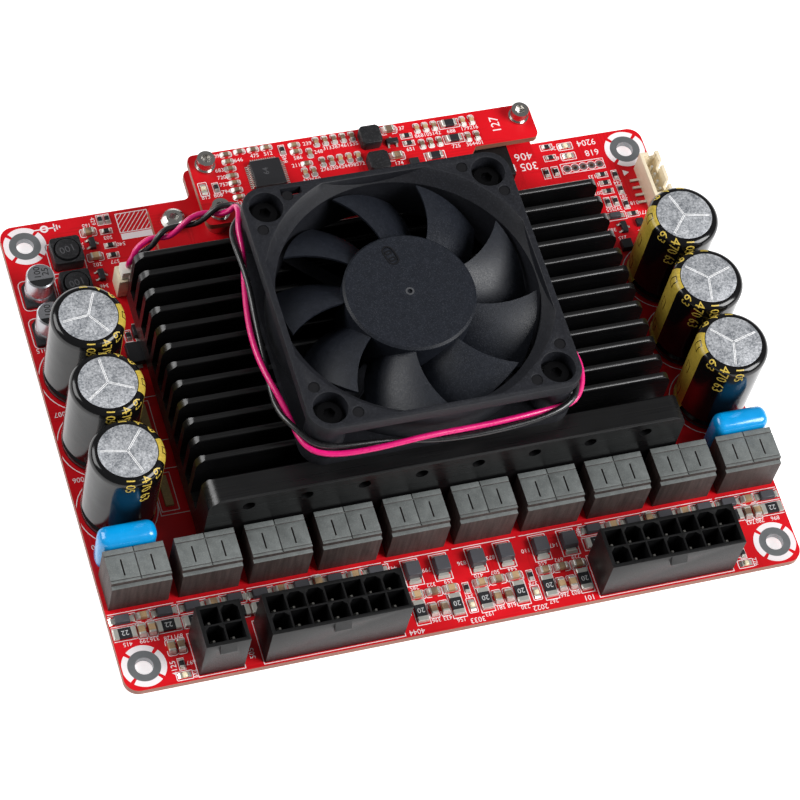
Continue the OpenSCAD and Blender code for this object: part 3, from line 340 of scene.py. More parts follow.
# The core's upright faces get a darker colour than its top. This is partly painted shade and partly the
# real press lines.
CORE = pressed_powder("pressed powder core", shade(104, 108, 107), shade(128, 132, 131), 0.55, 0.16,
                      upright_shade_and_streaks=shade(58, 50, 48))
FERRITE = pressed_powder("sintered ferrite", shade(34, 34, 36), shade(64, 64, 66), 0.36, 0.2)
PINK_SKIN = moulded("pink insulation", shade(224, 16, 116), 0.3, 0.8, 0.006, 0.06, coat=0.25)
BLACK_SKIN = moulded("black insulation", shade(22, 22, 24), 0.3, 0.8, 0.006, 0.1, coat=0.25)
INK = moulded("white ink", shade(236, 228, 230), 0.6, 0.2, 0.004, 0.05, specular=0.2)
GREY_INK = moulded("grey ink", shade(196, 197, 198), 0.6, 0.2, 0.004, 0.05, specular=0.2)
MARK_GREY = moulded("laser mark", shade(80, 80, 83), 0.6, 0.2, 0.004, 0.1, specular=0.2)
BLACK_INK = moulded("black ink", shade(24, 24, 26), 0.5, 0.2, 0.004, 0.1, specular=0.3)
GOLD_INK = moulded("gold ink", shade(206, 178, 74), 0.4, 0.3, 0.004, 0.08)
# Near-white, non-metal colour for the lips of the can-top scores: a painted highlight.
SCORE_HIGHLIGHT = metal_finish("painted score highlight", shade(252, 252, 252), 0.5, metallic=0.0)
print("finishes made:", len(bpy.data.materials))

# %% [markdown]
# ## Sleeve of the big capacitors
# A printed sleeve is shrunk over the can, so its gold stripe bends over the shoulder. The stripe could be a
# thin piece of its own, but it follows the can exactly if the finish draws it: the angle round each can
# picks the stripe, and the way from the top disc down the sleeve places the hollow mark. One bank has three
# cans in a row, so a remainder folds the three onto one.

# %% sleeve finish
CAN_R, CAN_TOP_Z, SHOULDER = 8.0, 26.6, 1.7
CAN_FIRST, CAN_PITCH = -15.5, 16.75
# Each bank of cans: where it stands across the board, and to which side its stripes look
BANKS = ((-67.5, -8), (68.2, 170))
CANS = [(x, CAN_FIRST + CAN_PITCH * row) for x, stripe in BANKS for row in range(3)]


def sleeve_finish(name, can_x, stripe_at):
    f = Finish(name, shade(9, 9, 10), 0.16, specular=0.4)
    x, y, z = f.xyz()
    across = x - can_x
    along = ((y - (CAN_FIRST - CAN_PITCH / 2)) % CAN_PITCH) - CAN_PITCH / 2
    angle = along.math("ARCTAN2", across) * (180 / math.pi)
    off = abs(((angle - (stripe_at - 180)) % 360) - 180)
    radius = (across * across + along * along) ** 0.5
    down = (radius - (CAN_R - SHOULDER)) + (CAN_TOP_Z - z)
    stripe = (off < 22) * (down > 0.15)
    # The hollow mark comes again every 9 mm: a patch less a smaller patch
    step = down % 9.0
    mark = (off < 6.5) * (step > 1.1) * (step < 4.4) - (off < 4.8) * (step > 1.35) * (step < 4.15)
    worn = f.noise(0.5, 3)
    gold = f.tint(f.between(worn, 0.3, 0.7), rgba(168, 144, 50), rgba(196, 172, 72))
    ink = stripe * (1 - mark)
    f.feed("Base Color", f.tint(ink, f.tint(worn, rgba(8, 8, 9), rgba(14, 14, 16)), gold))
    f.feed("Roughness", f.between(ink + 0.2 * f.noise(4, 2), 0, 1.1, 0.12, 0.36))
    return f.bump(f.noise(5, 2), 0.06)


SLEEVE_LEFT = sleeve_finish("left sleeves", *BANKS[0])
SLEEVE_RIGHT = sleeve_finish("right sleeves", *BANKS[1])
print("sleeves for", len(CANS), "cans")

# %% [markdown]
# ## Dressing the solids
# Assigning a finish to the material slot of a CAD node is enough where its shape is right as it stands. The
# other nodes are replaced further down by pieces that bring their own finishes.

# %% dress the CAD nodes
DRESS = {
    BOARD: ["main_board", "module_board", "upper_board"],
    NICKEL: ["underside_screws", "heatsink_spacers", "module_standoffs", "upper_spacers", "upper_screws",
             "module_screw"],
    STEEL: ["fan_rotor_ring", "fan_shaft"], BRONZE: ["fan_bearing"], COPPER: ["fan_stator"],
    BLACK_SCREW: ["fan_screws"], SLEEVE_LEFT: ["bulk_capacitors_left"],
    SLEEVE_RIGHT: ["bulk_capacitors_right"], TIN: ["signal_contacts", "solder_joints"],
    CAN: ["smd_capacitor_cans"], EPOXY: ["smd_capacitor_bases", "amplifier_chips"],
    STRIP: ["thermal_strips"]}
for finish, names in DRESS.items():
    for name in names:
        NODES[name].data.materials.clear()
        NODES[name].data.materials.append(finish.material)
print("dressed", sum(map(len, DRESS.values())), "of", len(NODES), "nodes")

# %% [markdown]
# ## Stamps and pieces
# A piece is one mesh with a material slot for each of its finishes. It is put together from small meshes
# that are made once and stamped wherever they are wanted, like type on a page.

# %% stamps and pieces
class Piece:
    """A mesh in the making, in millimetres, with one material slot for each finish."""
    def __init__(self, name, slot, *finishes):
        self.name, self.slot, self.finishes, self.bm = name, slot, finishes, bmesh.new()

    def stamp(self, mesh, at=(0, 0, 0), turn=0.0, flip=0.0):
        first = len(self.bm.verts)
        self.bm.from_mesh(mesh)
        self.bm.verts.ensure_lookup_table()
        fresh = self.bm.verts[first:]
        spin = Matrix.Rotation(math.radians(turn), 3, "Z") @ Matrix.Rotation(math.radians(flip), 3, "X")
        bmesh.ops.rotate(self.bm, cent=(0, 0, 0), matrix=spin, verts=fresh)
        bmesh.ops.translate(self.bm, vec=at, verts=fresh)
        return fresh

    def done(self, body="board", stands_for=(), angle=35, recalculate=True):
        if recalculate:
            bmesh.ops.recalc_face_normals(self.bm, faces=self.bm.faces)
        bmesh.ops.scale(self.bm, vec=(0.001, 0.001, 0.001), verts=self.bm.verts)
        mesh = bpy.data.meshes.new(self.name)
        self.bm.to_mesh(mesh)
        self.bm.free()
        if "custom_normal" in mesh.attributes:
            mesh.attributes.remove(mesh.attributes["custom_normal"])
        for finish in self.finishes:
            mesh.materials.append(finish.material)
        mesh.shade_smooth()
        mesh.set_sharp_from_angle(angle=math.radians(angle))
        piece = put(self.name, mesh)
        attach(piece, body)
        if stands_for:
            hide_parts(*stands_for)
        print(self.name, "has", len(mesh.polygons), "faces")
        return piece


def keep(bm, slot=0):
    """Keeps a bmesh as a mesh to stamp, all its faces in one material slot unless that is None."""
    for face in bm.faces if slot is not None else ():
        face.material_index = slot
    mesh = bpy.data.meshes.new("stamp")
    bm.to_mesh(mesh)
    bm.free()
    return mesh


def joined(*meshes):
    bm = bmesh.new()
    for mesh in meshes:
        bm.from_mesh(mesh)
    return keep(bm, None)


# %% operators used all the time
def only(kind, geom):
    return [g for g in geom if isinstance(g, kind)]


def bevel_edges(bm, edges, width, segments=2, **more):
    bmesh.ops.bevel(bm, geom=edges, offset=width, affect="EDGES", segments=segments, profile=0.5,
                    material=-1, **more)


def trim(bm, place, away, fill=True):
    """Cuts off what lies beyond a plane, and closes the cut of a solid shape."""
    everything = bm.verts[:] + bm.edges[:] + bm.faces[:]
    cut = bmesh.ops.bisect_plane(bm, geom=everything, plane_co=place, plane_no=away, clear_outer=True)
    if fill:
        bmesh.ops.holes_fill(bm, edges=only(bmesh.types.BMEdge, cut["geom_cut"]), sides=0)


# %% [markdown]
# ## Welding and softening
# A CAD node arrives as loose triangles, so its edges are mathematically sharp and its round surfaces look
# cut. Moulded and cast parts have neither: a copy of the node is welded, its flat triangles are joined
# again, and its sharp edges get a bevel of a tenth of a millimetre, which is what catches the light. The
# fan's frame gets one round its upper rim only, and the wires are smoothed as a whole. The node itself
# isn't touched.

# %% a softened copy of a node
WELD, FLAT, SHARP = 0.002, math.radians(0.4), math.radians(40)


def soften(node, finish, slot, body="board", bevel=0.0, angle=32, rounds=0, swell=0.0, rim=0.0):
    piece = Piece("soft_" + node, slot, finish)
    bm = piece.bm
    bm.from_mesh(NODES[node].data)
    bmesh.ops.scale(bm, vec=(1000, 1000, 1000), verts=bm.verts)
    bmesh.ops.remove_doubles(bm, verts=bm.verts, dist=WELD)
    bmesh.ops.dissolve_limit(bm, angle_limit=FLAT, verts=bm.verts, edges=bm.edges)
    if rounds:
        bmesh.ops.join_triangles(bm, faces=bm.faces, angle_face_threshold=math.radians(50),
                                 angle_shape_threshold=math.radians(70))
    if bevel or rim:
        sharp = [e for e in bm.edges if e.is_manifold and e.calc_face_angle() > SHARP]
    if bevel:
        bevel_edges(bm, sharp, bevel, clamp_overlap=True)
    if rim:
        top = max(v.co.z for v in bm.verts) - 0.01
        bevel_edges(bm, [e for e in sharp if all(v.co.z > top for v in e.verts)], rim)
    bm.normal_update()
    for vert in bm.verts:
        vert.co += vert.normal * swell
    for face in bm.faces:
        face.material_index = 0
    made = piece.done(body, (node,), angle, recalculate=False)
    if rounds:
        smooth = made.modifiers.new("round", "SUBSURF")
        smooth.levels = smooth.render_levels = rounds


# %% soften the moulded and cast parts
for finish, slot, bevels in (
        (HEATSINK, "heatsink_black", {"heatsink": 0}), (CORE, "ferrite_grey", {"output_inductors": 0.1}),
        (HEADER, "header_black", {"speaker_header_left": 0.1, "speaker_header_right": 0.1,
                                  "power_header": 0.1, "board_connectors": 0.15}),
        (WHITE, "nylon_white", {"fan_plug": 0.12}),
        (CREAM, "nylon_cream", {"fan_header": 0.1, "signal_header": 0.1}),
        (FERRITE, "ferrite_dark", {"upper_inductors": 0.25, "power_inductors": 0.12})):
    for node, bevel in bevels.items():
        soften(node, finish, slot, bevel=bevel)
soften("fan_frame", FAN, "fan_plastic", rim=0.16)
soften("fan_impeller", IMPELLER, "impeller_plastic", body="impeller", angle=40)
soften("fan_wire_pink", PINK_SKIN, "wire_pink", angle=80, rounds=1, swell=0.13)
soften("fan_wire_black", BLACK_SKIN, "wire_black", angle=80, rounds=1, swell=0.13)

# %% [markdown]
# ## Chips
# A chip capacitor is a fired block dipped in metal at both ends and held by two little slopes of solder.
# The CAD model has one plain block for each. Its islands, the groups of connected faces, say where every
# block lies, and a detailed chip of the same size is stamped there.

# %% islands of a node
def islands(node):
    """The lowest and highest corner of each separate solid of a node, in millimetres."""
    bm = bmesh.new()
    bm.from_mesh(NODES[node].data)
    bmesh.ops.remove_doubles(bm, verts=bm.verts, dist=2e-6)
    seen, boxes = set(), []
    for start in bm.verts:
        if start in seen:
            continue
        group, waiting = [], [start]
        seen.add(start)
        while waiting:
            vert = waiting.pop()
            group.append(vert.co * 1000)
            for edge in vert.link_edges:
                other = edge.other_vert(vert)
                if other not in seen:
                    seen.add(other)
                    waiting.append(other)
        boxes.append([Vector([pick(axis) for axis in zip(*group)]) for pick in (min, max)])
    bm.free()
    return boxes


def foot(box):
    """The middle of a box's lower face."""
    low, high = box
    return ((low.x + high.x) / 2, (low.y + high.y) / 2, low.z)


def lie(box):
    """Place, length, width, height and turn of a chip that fills a box, its length along the box."""
    x, y, z = box[1] - box[0]
    return (foot(box), x, y, z, 0) if x >= y else (foot(box), y, x, z, 90)


# %% chip shapes
def brick(size, at=(0, 0, 0), bevel=0.0, slot=0, taper=0.0, slope=0.0):
    """A block on its place; taper narrows its top, and slope lowers the top edge at its +X side."""
    bm = bmesh.new()
    bmesh.ops.create_cube(bm, size=1)
    bmesh.ops.scale(bm, vec=size, verts=bm.verts)
    top = [v for v in bm.verts if v.co.z > 0]
    if taper:
        bmesh.ops.scale(bm, vec=(1 - 2 * taper / size[0], 1 - 2 * taper / size[1], 1), verts=top)
    if slope:
        bmesh.ops.translate(bm, vec=(0, 0, -slope), verts=[v for v in top if v.co.x > 0])
    if bevel:
        bevel_edges(bm, bm.edges[:], bevel, segments=1)
    bmesh.ops.translate(bm, vec=(at[0], at[1], at[2] + size[2] / 2), verts=bm.verts)
    return keep(bm, slot)


def solder(reach, width, height, x):
    return brick((reach, width, height), at=(x, 0, 0), slot=1, slope=height * 0.9)


def moved(mesh, turn, shift=(0, 0, 0)):
    """A copy of a stamp, turned about Z and then shifted."""
    copy = mesh.copy()
    copy.transform(Matrix.Translation(shift) @ Matrix.Rotation(math.radians(turn), 4, "Z"))
    return copy


def with_ends(body, *ends):
    """A body with the same shapes at both of its ends; they are made for its +X end."""
    return joined(body, *ends, *(moved(end, 180) for end in ends))


def two_ended(length, width, height, end, run=0.42):
    """Body in slot 0 between metal ends in slot 1, each with its slope of solder."""
    body = brick((length - 1.6 * end, width * 0.95, height * 0.95), bevel=0.05)
    cap = brick((end, width, height), at=((length - end) / 2, 0, 0), bevel=min(0.14, end / 3), slot=1)
    return with_ends(body, cap, solder(run, width * 0.98, height * 0.7, length / 2 + run / 2 - 0.03))


CHIP_SHAPES = {}


def shape(make, *sizes):
    """Makes a shape once and hands out the same mesh for the same sizes."""
    key = (make.__name__, *(round(s, 2) for s in sizes))
    if key not in CHIP_SHAPES:
        CHIP_SHAPES[key] = make(*sizes)
    return CHIP_SHAPES[key]


# %% numerals
# Thickness of a print, and the height of a figure as a share of the font's size
INK_T, FIGURE_SHARE = 0.03, 0.69


@cache
def numerals(text, height, slot=0):
    """Plain figures as a thin plate, centred on its place."""
    curve = bpy.data.curves.new("figures", "FONT")
    curve.body, curve.size = text, height / FIGURE_SHARE
    curve.align_x = curve.align_y = "CENTER"
    curve.resolution_u, curve.extrude = 2, INK_T / 2
    writer = bpy.data.objects.new("figures", curve)
    bm = bmesh.new()
    bm.from_mesh(bpy.data.meshes.new_from_object(writer))
    bpy.data.objects.remove(writer)
    bmesh.ops.remove_doubles(bm, verts=bm.verts, dist=1e-4)
    bmesh.ops.translate(bm, vec=(0, 0, INK_T / 2), verts=bm.verts)
    return keep(bm, slot)


# %% capacitor and resistor chips
capacitors = islands("chip_capacitors")
piece = Piece("chip_capacitors_dressed", "ceramic_tan", CERAMIC, TIN)
for box in capacitors:
    at, length, width, height, turn = lie(box)
    piece.stamp(shape(two_ended, length, width, height, length * 0.24), at, turn)
piece.done(stands_for=("chip_capacitors",))

resistors = islands("chip_resistors")
piece = Piece("chip_resistors_dressed", "chip_black", EPOXY, TIN, GREY_INK)
for box in resistors:
    at, length, width, height, turn = lie(box)
    big = length > 4
    end, run = (0.24, 0.2) if big else (0.22, 0.35)
    piece.stamp(shape(two_ended, length, width, height, length * end, run), at, turn)
    if big:
        value = numerals("22" if turn == 0 else "20", 1.15, 2)
        piece.stamp(value, (at[0], at[1], at[2] + height * 0.95 - 0.01), 180)
piece.done(stands_for=("chip_resistors",))


# %% shapes of diodes, lamps and leaded chips
def diode(length, width, height):
    body = brick((length - 1.0, width, height * 0.9), at=(0, 0, height * 0.1), bevel=0.12, taper=0.16)
    tab = brick((1.0, width * 0.66, height * 0.3), at=(length / 2 - 0.3, 0, 0), bevel=0.08, slot=1)
    return with_ends(body, tab, solder(0.6, width * 0.8, height * 0.3, length / 2 + 0.25))


def lamp(length, width, height):
    body = brick((length * 0.6, width, height), bevel=0.18, taper=0.12)
    tab = brick((length * 0.24, width, height * 0.5), at=(length * 0.39, 0, 0), bevel=0.06, slot=1)
    return with_ends(body, tab, solder(0.5, width * 0.95, height * 0.4, length / 2 + 0.2))


def bent_strip(path, width, thickness):
    """A strip of sheet metal in slot 1, bent along a path of (x, z) points."""
    bm = bmesh.new()
    points = [bm.verts.new((x, -width / 2, z)) for x, z in path]
    edges = [bm.edges.new(pair) for pair in zip(points, points[1:])]
    made = bmesh.ops.extrude_edge_only(bm, edges=edges)["geom"]
    bmesh.ops.translate(bm, vec=(0, width, 0), verts=only(bmesh.types.BMVert, made))
    bmesh.ops.solidify(bm, geom=bm.faces[:], thickness=thickness)
    return keep(bm, 1)


def three_leads():
    leg = bent_strip([(0.6, 0.5), (0.85, 0.5), (0.95, 0.1), (1.45, 0.06)], 0.42, 0.12)
    legs = [moved(leg, turn, (0, y, 0)) for turn, y in ((180, -0.95), (180, 0.95), (0, 0))]
    return joined(brick((1.4, 2.9, 1.0), at=(0, 0, 0.1), bevel=0.1, taper=0.08), *legs)


# %% diodes, lamps and leaded chips
diodes, lamps, leaded = islands("diodes"), islands("status_leds"), islands("small_chips")
for name, slot, finish, boxes, make, node in (
        ("diodes_dressed", "chip_black", RECTIFIER, diodes, diode, "diodes"),
        ("status_lamps_dressed", "led_cream", LENS, lamps, lamp, "status_leds")):
    piece = Piece(name, slot, finish, TIN)
    for box in boxes:
        at, length, width, height, turn = lie(box)
        piece.stamp(shape(make, length, width, height), at, turn)
    piece.done(stands_for=(node,))

piece = Piece("small_chips_dressed", "chip_black", EPOXY, TIN)
for box in leaded:
    size = box[1] - box[0]
    # A chip with three legs is 2.9 mm long and nearly square with its legs
    if abs(size.x - size.y) < 0.45 and abs(max(size.x, size.y) - 2.9) < 0.1:
        piece.stamp(shape(three_leads), foot(box), 0 if size.y > size.x else 90)
    else:
        piece.stamp(brick(tuple(size), bevel=0.12, taper=0.06), foot(box))
piece.done(stands_for=("small_chips",))

# %% processor with its four rows of legs
LEGS, LEG_PITCH = 12, 0.5
x, y, z = foot(islands("processor_chip")[0])
piece = Piece("processor_dressed", "chip_black", EPOXY, TIN, MARK_GREY)
piece.stamp(brick((7, 7, 1.4), at=(0, 0, 0.1), bevel=0.12, taper=0.08), (x, y, z))
leg = bent_strip([(3.4, 0.75), (3.72, 0.75), (3.9, 0.1), (4.5, 0.06)], 0.24, 0.14)
for turn in (0, 90, 180, 270):
    for count in range(LEGS):
        shift = Vector((0, (count - (LEGS - 1) / 2) * LEG_PITCH, 0))
        shift.rotate(Matrix.Rotation(math.radians(turn), 3, "Z"))
        piece.stamp(leg, (x + shift.x, y + shift.y, z), turn)
piece.stamp(numerals("64", 1.3, 2), (x - 0.4, y + 0.3, z + 1.49), 90)
piece.done(stands_for=("processor_chip",))

# %% [markdown]
# ## Plug pins
# Each cell of a plug header holds one square pin with a pointed end. A tapered block on a straight one
# gives the point that shows as a bright speck deep in the cell.

# %% plug pins
POINT = 1.0
piece = Piece("header_pins_dressed", "contact_tin", TIN)
for box in islands("header_contacts"):
    x, y, z = box[1] - box[0]
    point = brick((x, y, POINT), at=(0, 0, z - POINT), taper=x * 0.3)
    piece.stamp(joined(brick((x, y, z - POINT)), point), foot(box))
piece.done(stands_for=("header_contacts",))

# %% [markdown]
# ## Dipped film capacitors
# A film capacitor is dipped in resin, which runs into thick round edges. A wide bevel of five segments on a
# plain block gives them.

# %% film capacitors
FILM = ("film_capacitor_left", "film_capacitor_right")
piece = Piece("film_capacitors_dressed", "film_blue", BLUE)
for low, high in islands(FILM[0]) + islands(FILM[1]):
    size = high - low
    bm = bmesh.new()
    bmesh.ops.create_cube(bm, size=1)
    bmesh.ops.scale(bm, vec=size, verts=bm.verts)
    bevel_edges(bm, bm.edges[:], min(size) * 0.4, segments=5)
    piece.stamp(keep(bm), (low + high) / 2)
piece.done(stands_for=FILM, angle=60)

# %% [markdown]
# ## Capacitor tops
# The sleeve leaves the can's end bare: rough aluminium with three scores that let it open if the pressure
# rises. Each can is turned at random in its row, so the angles of the scores were read off the photograph
# one by one.

# %% flat shapes
def flat(bm, thickness=INK_T, slot=0):
    """Gives a flat shape its thickness and stands it just inside the surface that it lies on."""
    bmesh.ops.solidify(bm, geom=bm.faces[:], thickness=thickness)
    lowest = min(v.co.z for v in bm.verts)
    bmesh.ops.translate(bm, vec=(0, 0, -lowest - 0.005), verts=bm.verts)
    return keep(bm, slot)


def disc(radius, segments, thickness=INK_T):
    bm = bmesh.new()
    bmesh.ops.create_circle(bm, cap_ends=True, radius=radius, segments=segments)
    return flat(bm, thickness)


def band(inner, outer, start=0.0, end=360.0, thickness=INK_T, slot=0):
    """A ring, or a part of one, swept by spinning an edge."""
    bm = bmesh.new()
    turn = Matrix.Rotation(math.radians(start), 3, "Z")
    ends = [bm.verts.new(turn @ Vector((r, 0, 0))) for r in (inner, outer)]
    edge = bm.edges.new(ends)
    sweep = end - start
    bmesh.ops.spin(bm, geom=[*ends, edge], cent=(0, 0, 0), axis=(0, 0, 1), angle=math.radians(sweep),
                   steps=max(4, round(sweep / 7.5)), use_merge=sweep >= 360)
    bmesh.ops.recalc_face_normals(bm, faces=bm.faces)
    return flat(bm, thickness, slot)


def frame_line(width, depth, line=0.16, corner=0.0, gap=0.0, thickness=INK_T):
    """A rectangle drawn as a line; a gap in the middle of its long sides leaves two brackets."""
    bm = bmesh.new()
    bmesh.ops.create_grid(bm, x_segments=1, y_segments=1, size=0.5)
    bmesh.ops.scale(bm, vec=(width, depth, 1), verts=bm.verts)
    if corner:
        bmesh.ops.bevel(bm, geom=bm.verts[:], offset=corner, affect="VERTICES", segments=3, profile=0.5,
                        material=-1)
    ring = bmesh.ops.inset_region(bm, faces=bm.faces[:], use_boundary=True, use_even_offset=True,
                                  thickness=line)["faces"]
    bmesh.ops.delete(bm, geom=[f for f in bm.faces if f not in ring], context="FACES")
    if gap:
        for edge in (-gap / 2, gap / 2):
            everything = bm.verts[:] + bm.edges[:] + bm.faces[:]
            bmesh.ops.bisect_plane(bm, geom=everything, plane_co=(edge, 0, 0), plane_no=(1, 0, 0))
        middle = [f for f in bm.faces if abs(f.calc_center_median().x) < gap / 2 - 0.01]
        bmesh.ops.delete(bm, geom=middle, context="FACES")
    return flat(bm, thickness)


# %% bare tops with their scores
SCORES = (50, 95, 66, 15, 18, 108)
piece = Piece("capacitor_tops", "can_aluminium", CAN_TOP, SCORE_HIGHLIGHT)
bm = bmesh.new()
bmesh.ops.create_circle(bm, cap_ends=True, radius=6.28, segments=72)
made = bmesh.ops.extrude_face_region(bm, geom=bm.faces[:])["geom"]
bmesh.ops.translate(bm, vec=(0, 0, 0.1), verts=only(bmesh.types.BMVert, made))
bevel_edges(bm, [e for e in bm.edges if all(v.co.z > 0.05 for v in e.verts)], 0.06)
top = keep(bm)
# Each score is two raised lips in slot 1, coloured near white: a painted highlight of the light that the
# scored aluminium catches.
lips = [brick((5.6, 0.15, 0.05), at=(2.95, side * 0.15, 0.07), bevel=0.04, slot=1) for side in (-1, 1)]
score = joined(*lips)
for (x, y), first in zip(CANS, SCORES):
    at = (x, y, CAN_TOP_Z - 0.06)
    piece.stamp(top, at)
    for third in range(3):
        piece.stamp(score, at, first + 120 * third)
piece.done()


# %% [markdown]
# ## Figures on the sleeves
# The figures run down the sleeve from its shoulder in columns. A flat text is bent on: its reading
# direction follows the can's profile, first the quarter round of the shoulder and then straight down, and
# its height goes round the can.

# %% figures bent round the cans
def fine_figures(text, height):
    """Figures cut into short edges, so that they can follow a curved surface."""
    bm = bmesh.new()
    bm.from_mesh(numerals(text, height))
    for cut in range(3):
        bmesh.ops.triangulate(bm, faces=bm.faces)
        bmesh.ops.subdivide_edges(bm, edges=[e for e in bm.edges if e.calc_length() > 0.6], cuts=1)
    return keep(bm)


def on_sleeve(piece, text, height, can, angle, start=0.5, lift=0.012):
    mesh = fine_figures(text, height)
    reach = [v.co.x for v in mesh.vertices]
    width = max(reach) - min(reach)
    arc = SHOULDER * math.pi / 2
    for vert in piece.stamp(mesh):
        down = start + vert.co.x + width / 2
        out = lift + vert.co.z
        if down < arc:
            bend = down / SHOULDER
            radius = CAN_R - SHOULDER + (SHOULDER + out) * math.sin(bend)
            level = CAN_TOP_Z - SHOULDER + (SHOULDER + out) * math.cos(bend)
        else:
            radius, level = CAN_R + out, CAN_TOP_Z - SHOULDER - (down - arc)
        turn = math.radians(angle) + vert.co.y / CAN_R
        vert.co = (can[0] + radius * math.cos(turn), can[1] + radius * math.sin(turn), level)


piece = Piece("sleeve_figures", "capacitor_sleeve", GOLD_INK)
for can in CANS:
    stripe = dict(BANKS)[can[0]]
    for step, text, height in ((42, "63", 2.1), (66, "470 63", 2.3), (92, "105", 2.0)):
        for side in (-1, 1):
            on_sleeve(piece, text, height, can, stripe + side * step)
piece.done(angle=80)

# %% [markdown]
# ## Marks on the small cans and coils
# A small can has the side of its minus lead blackened on top, a segment of the round end. Cutting a disc
# with a plane leaves exactly that segment.

# %% marks on small cans and coils
SMALL_CANS, SMALL_CAN_TOP = ((-71.3, 30.1), (-71.3, 39.9)), 9.3
COILS, COIL_TOP = ((-63, 39.3), (-63, 48.1)), islands("power_inductors")[0][1].z
piece = Piece("can_marks", "chip_black", BLACK_INK, MARK_GREY)
for x, y in SMALL_CANS:
    bm = bmesh.new()
    bmesh.ops.create_circle(bm, cap_ends=True, radius=2.84, segments=40)
    trim(bm, (0, -0.95, 0), (0, 1, 0), fill=False)
    piece.stamp(flat(bm), (x, y, SMALL_CAN_TOP))
    for text, shift in (("100", -0.5), ("25", 1.25)):
        piece.stamp(numerals(text, 1.45), (x + shift, y + 0.85, SMALL_CAN_TOP), 86)
for x, y in COILS:
    piece.stamp(numerals("100", 1.7, 1), (x, y, COIL_TOP - 0.005), 190)
piece.done()

# %% [markdown]
# ## Fan details
# Eight round ejector marks lie round the screw bores, and the hub carries an oval rim and a small gate
# mark. The last two turn with the impeller, so they ride on it.

# %% fan marks
FAN_X, FAN_Y, FAN_TOP, HUB_TOP, BORE = -1.5, 4.9, 38.4, 36.6, 25.1
piece = Piece("ejector_marks", "fan_plastic", FAN_DARK)
for side_x in (-1, 1):
    for side_y in (-1, 1):
        for dx, dy in ((-5.4, 2.1), (2.1, -5.4)):
            x, y = FAN_X + side_x * (BORE + dx), FAN_Y + side_y * (BORE + dy)
            piece.stamp(disc(1.22, 24, 0.04), (x, y, FAN_TOP - 0.3))
piece.done()
piece = Piece("hub_marks", "impeller_plastic", FAN_DARK, FAN_PALE)
x, y, turn, raised = FAN_X - 1.6, FAN_Y + 9.4, 106, 0.1
piece.stamp(frame_line(4.9, 2.7, 0.3, 1.34, thickness=raised), (x, y, HUB_TOP - 0.02), turn)
for side in (-1, 1):
    ring = frame_line(1.0, 1.5, 0.24, 0.35, thickness=raised)
    piece.stamp(ring, (x + side * 0.25, y - side * 0.85, HUB_TOP - 0.2), turn)
piece.stamp(band(0.56, 0.95, slot=1), (FAN_X, FAN_Y, HUB_TOP))
piece.done(body="impeller")

# %% [markdown]
# ## Printed marks on the board
# White ink is printed on the solder resist: a frame round each part, rings, and rows of small figures. A
# texture could draw it, but then every mark needs its own place in the node tree. Thin plates of ink are
# stamped instead, and the frames are worked out from the islands, so that each fits the chip that it goes
# round.

# %% ink round the chips
# Five small resistors that only this script adds
EXTRA = ((53, 56.4, 0), (53, 53.4, 0), (50.8, 49.5, 90), (53.1, 49.5, 90), (-54.6, 25.7, 90))
ink = Piece("silk_print", "nylon_white", INK)
for boxes, room, corner, gap in (
        (capacitors, (1.5, 0.75), 0.5, 0.5), (resistors, (1.5, 0.7), 0.0, 0.0),
        (diodes, (1.9, 0.6), 0.0, 0.0), (lamps, (1.7, 0.8), 0.3, 0.0)):
    for box in boxes:
        at, length, width, height, turn = lie(box)
        share, line = (0.75, 0.15) if length < 2 else (1, 0.17)
        ink.stamp(shape(frame_line, length + room[0] * share, width + room[1] * share, line, corner,
                        gap * length), at, turn)
for x, y, turn in EXTRA:
    ink.stamp(shape(frame_line, 3.1, 1.7, 0.15, 0.0, 0.0), (x, y, BOARD_T), turn)
print("chips framed:", len(capacitors + resistors + diodes + lamps) + len(EXTRA))

# %% ink round the larger parts
COIL_LINE, PLUG_Y = -39.65, -52.4
for x, y in CANS:
    ink.stamp(band(8.6, 8.8), (x, y, BOARD_T))
for coil in range(10):
    ink.stamp(brick((14.6, 0.17, INK_T)), ((coil - 4.5) * 15.3, COIL_LINE, BOARD_T))
for left, right in ((-46.2, -15.6), (29.0, 59.6), (-60.4, -50.8)):
    ink.stamp(frame_line(right - left + 0.7, 10.4, 0.17), ((left + right) / 2, PLUG_Y, BOARD_T))
for box in islands("thermal_strips"):
    wide, deep, tall = box[1] - box[0]
    x, y, z = foot(box)
    ink.stamp(frame_line(wide + 2.2, deep + 2.2), (x, y, z))
    ink.stamp(frame_line(wide + 5.0, deep + 4.0), (x + 1.0, y, z))
for places, side, corner in ((SMALL_CANS, 7.9, 1.3), (COILS, 8.0, 0.6)):
    for x, y in places:
        ink.stamp(frame_line(side, side, 0.18, corner), (x, y, BOARD_T))

# %% mounting holes and plated holes
MOUNTS = [(x, y) for x in (-71.2, 71.2) for y in (-52.6, 52.6)]
PLATED_X, PLATED_Y = (56, 58, 60, 62, 64), 49.8
pads = Piece("bare_pads", "contact_tin", PAD)
for x, y in MOUNTS:
    pads.stamp(band(2.02, 3.55), (x, y, BOARD_T))
    pads.stamp(band(2.02, 3.55), (x, y, 0), flip=180)
    pads.stamp(band(1.95, 2.06, thickness=BOARD_T + 0.02), (x, y, 0))
    for start in (50, 140, 230, 320):
        ink.stamp(band(3.55, 4.8, start, start + 80), (x, y, BOARD_T))
for x in PLATED_X:
    pads.stamp(band(0.5, 0.85), (x, PLATED_Y, BOARD_T))
    ink.stamp(band(1.0, 1.14), (x, PLATED_Y, BOARD_T))
ink.stamp(frame_line(10.6, 2.9), (59.9, 49.9, BOARD_T))
pads.done()

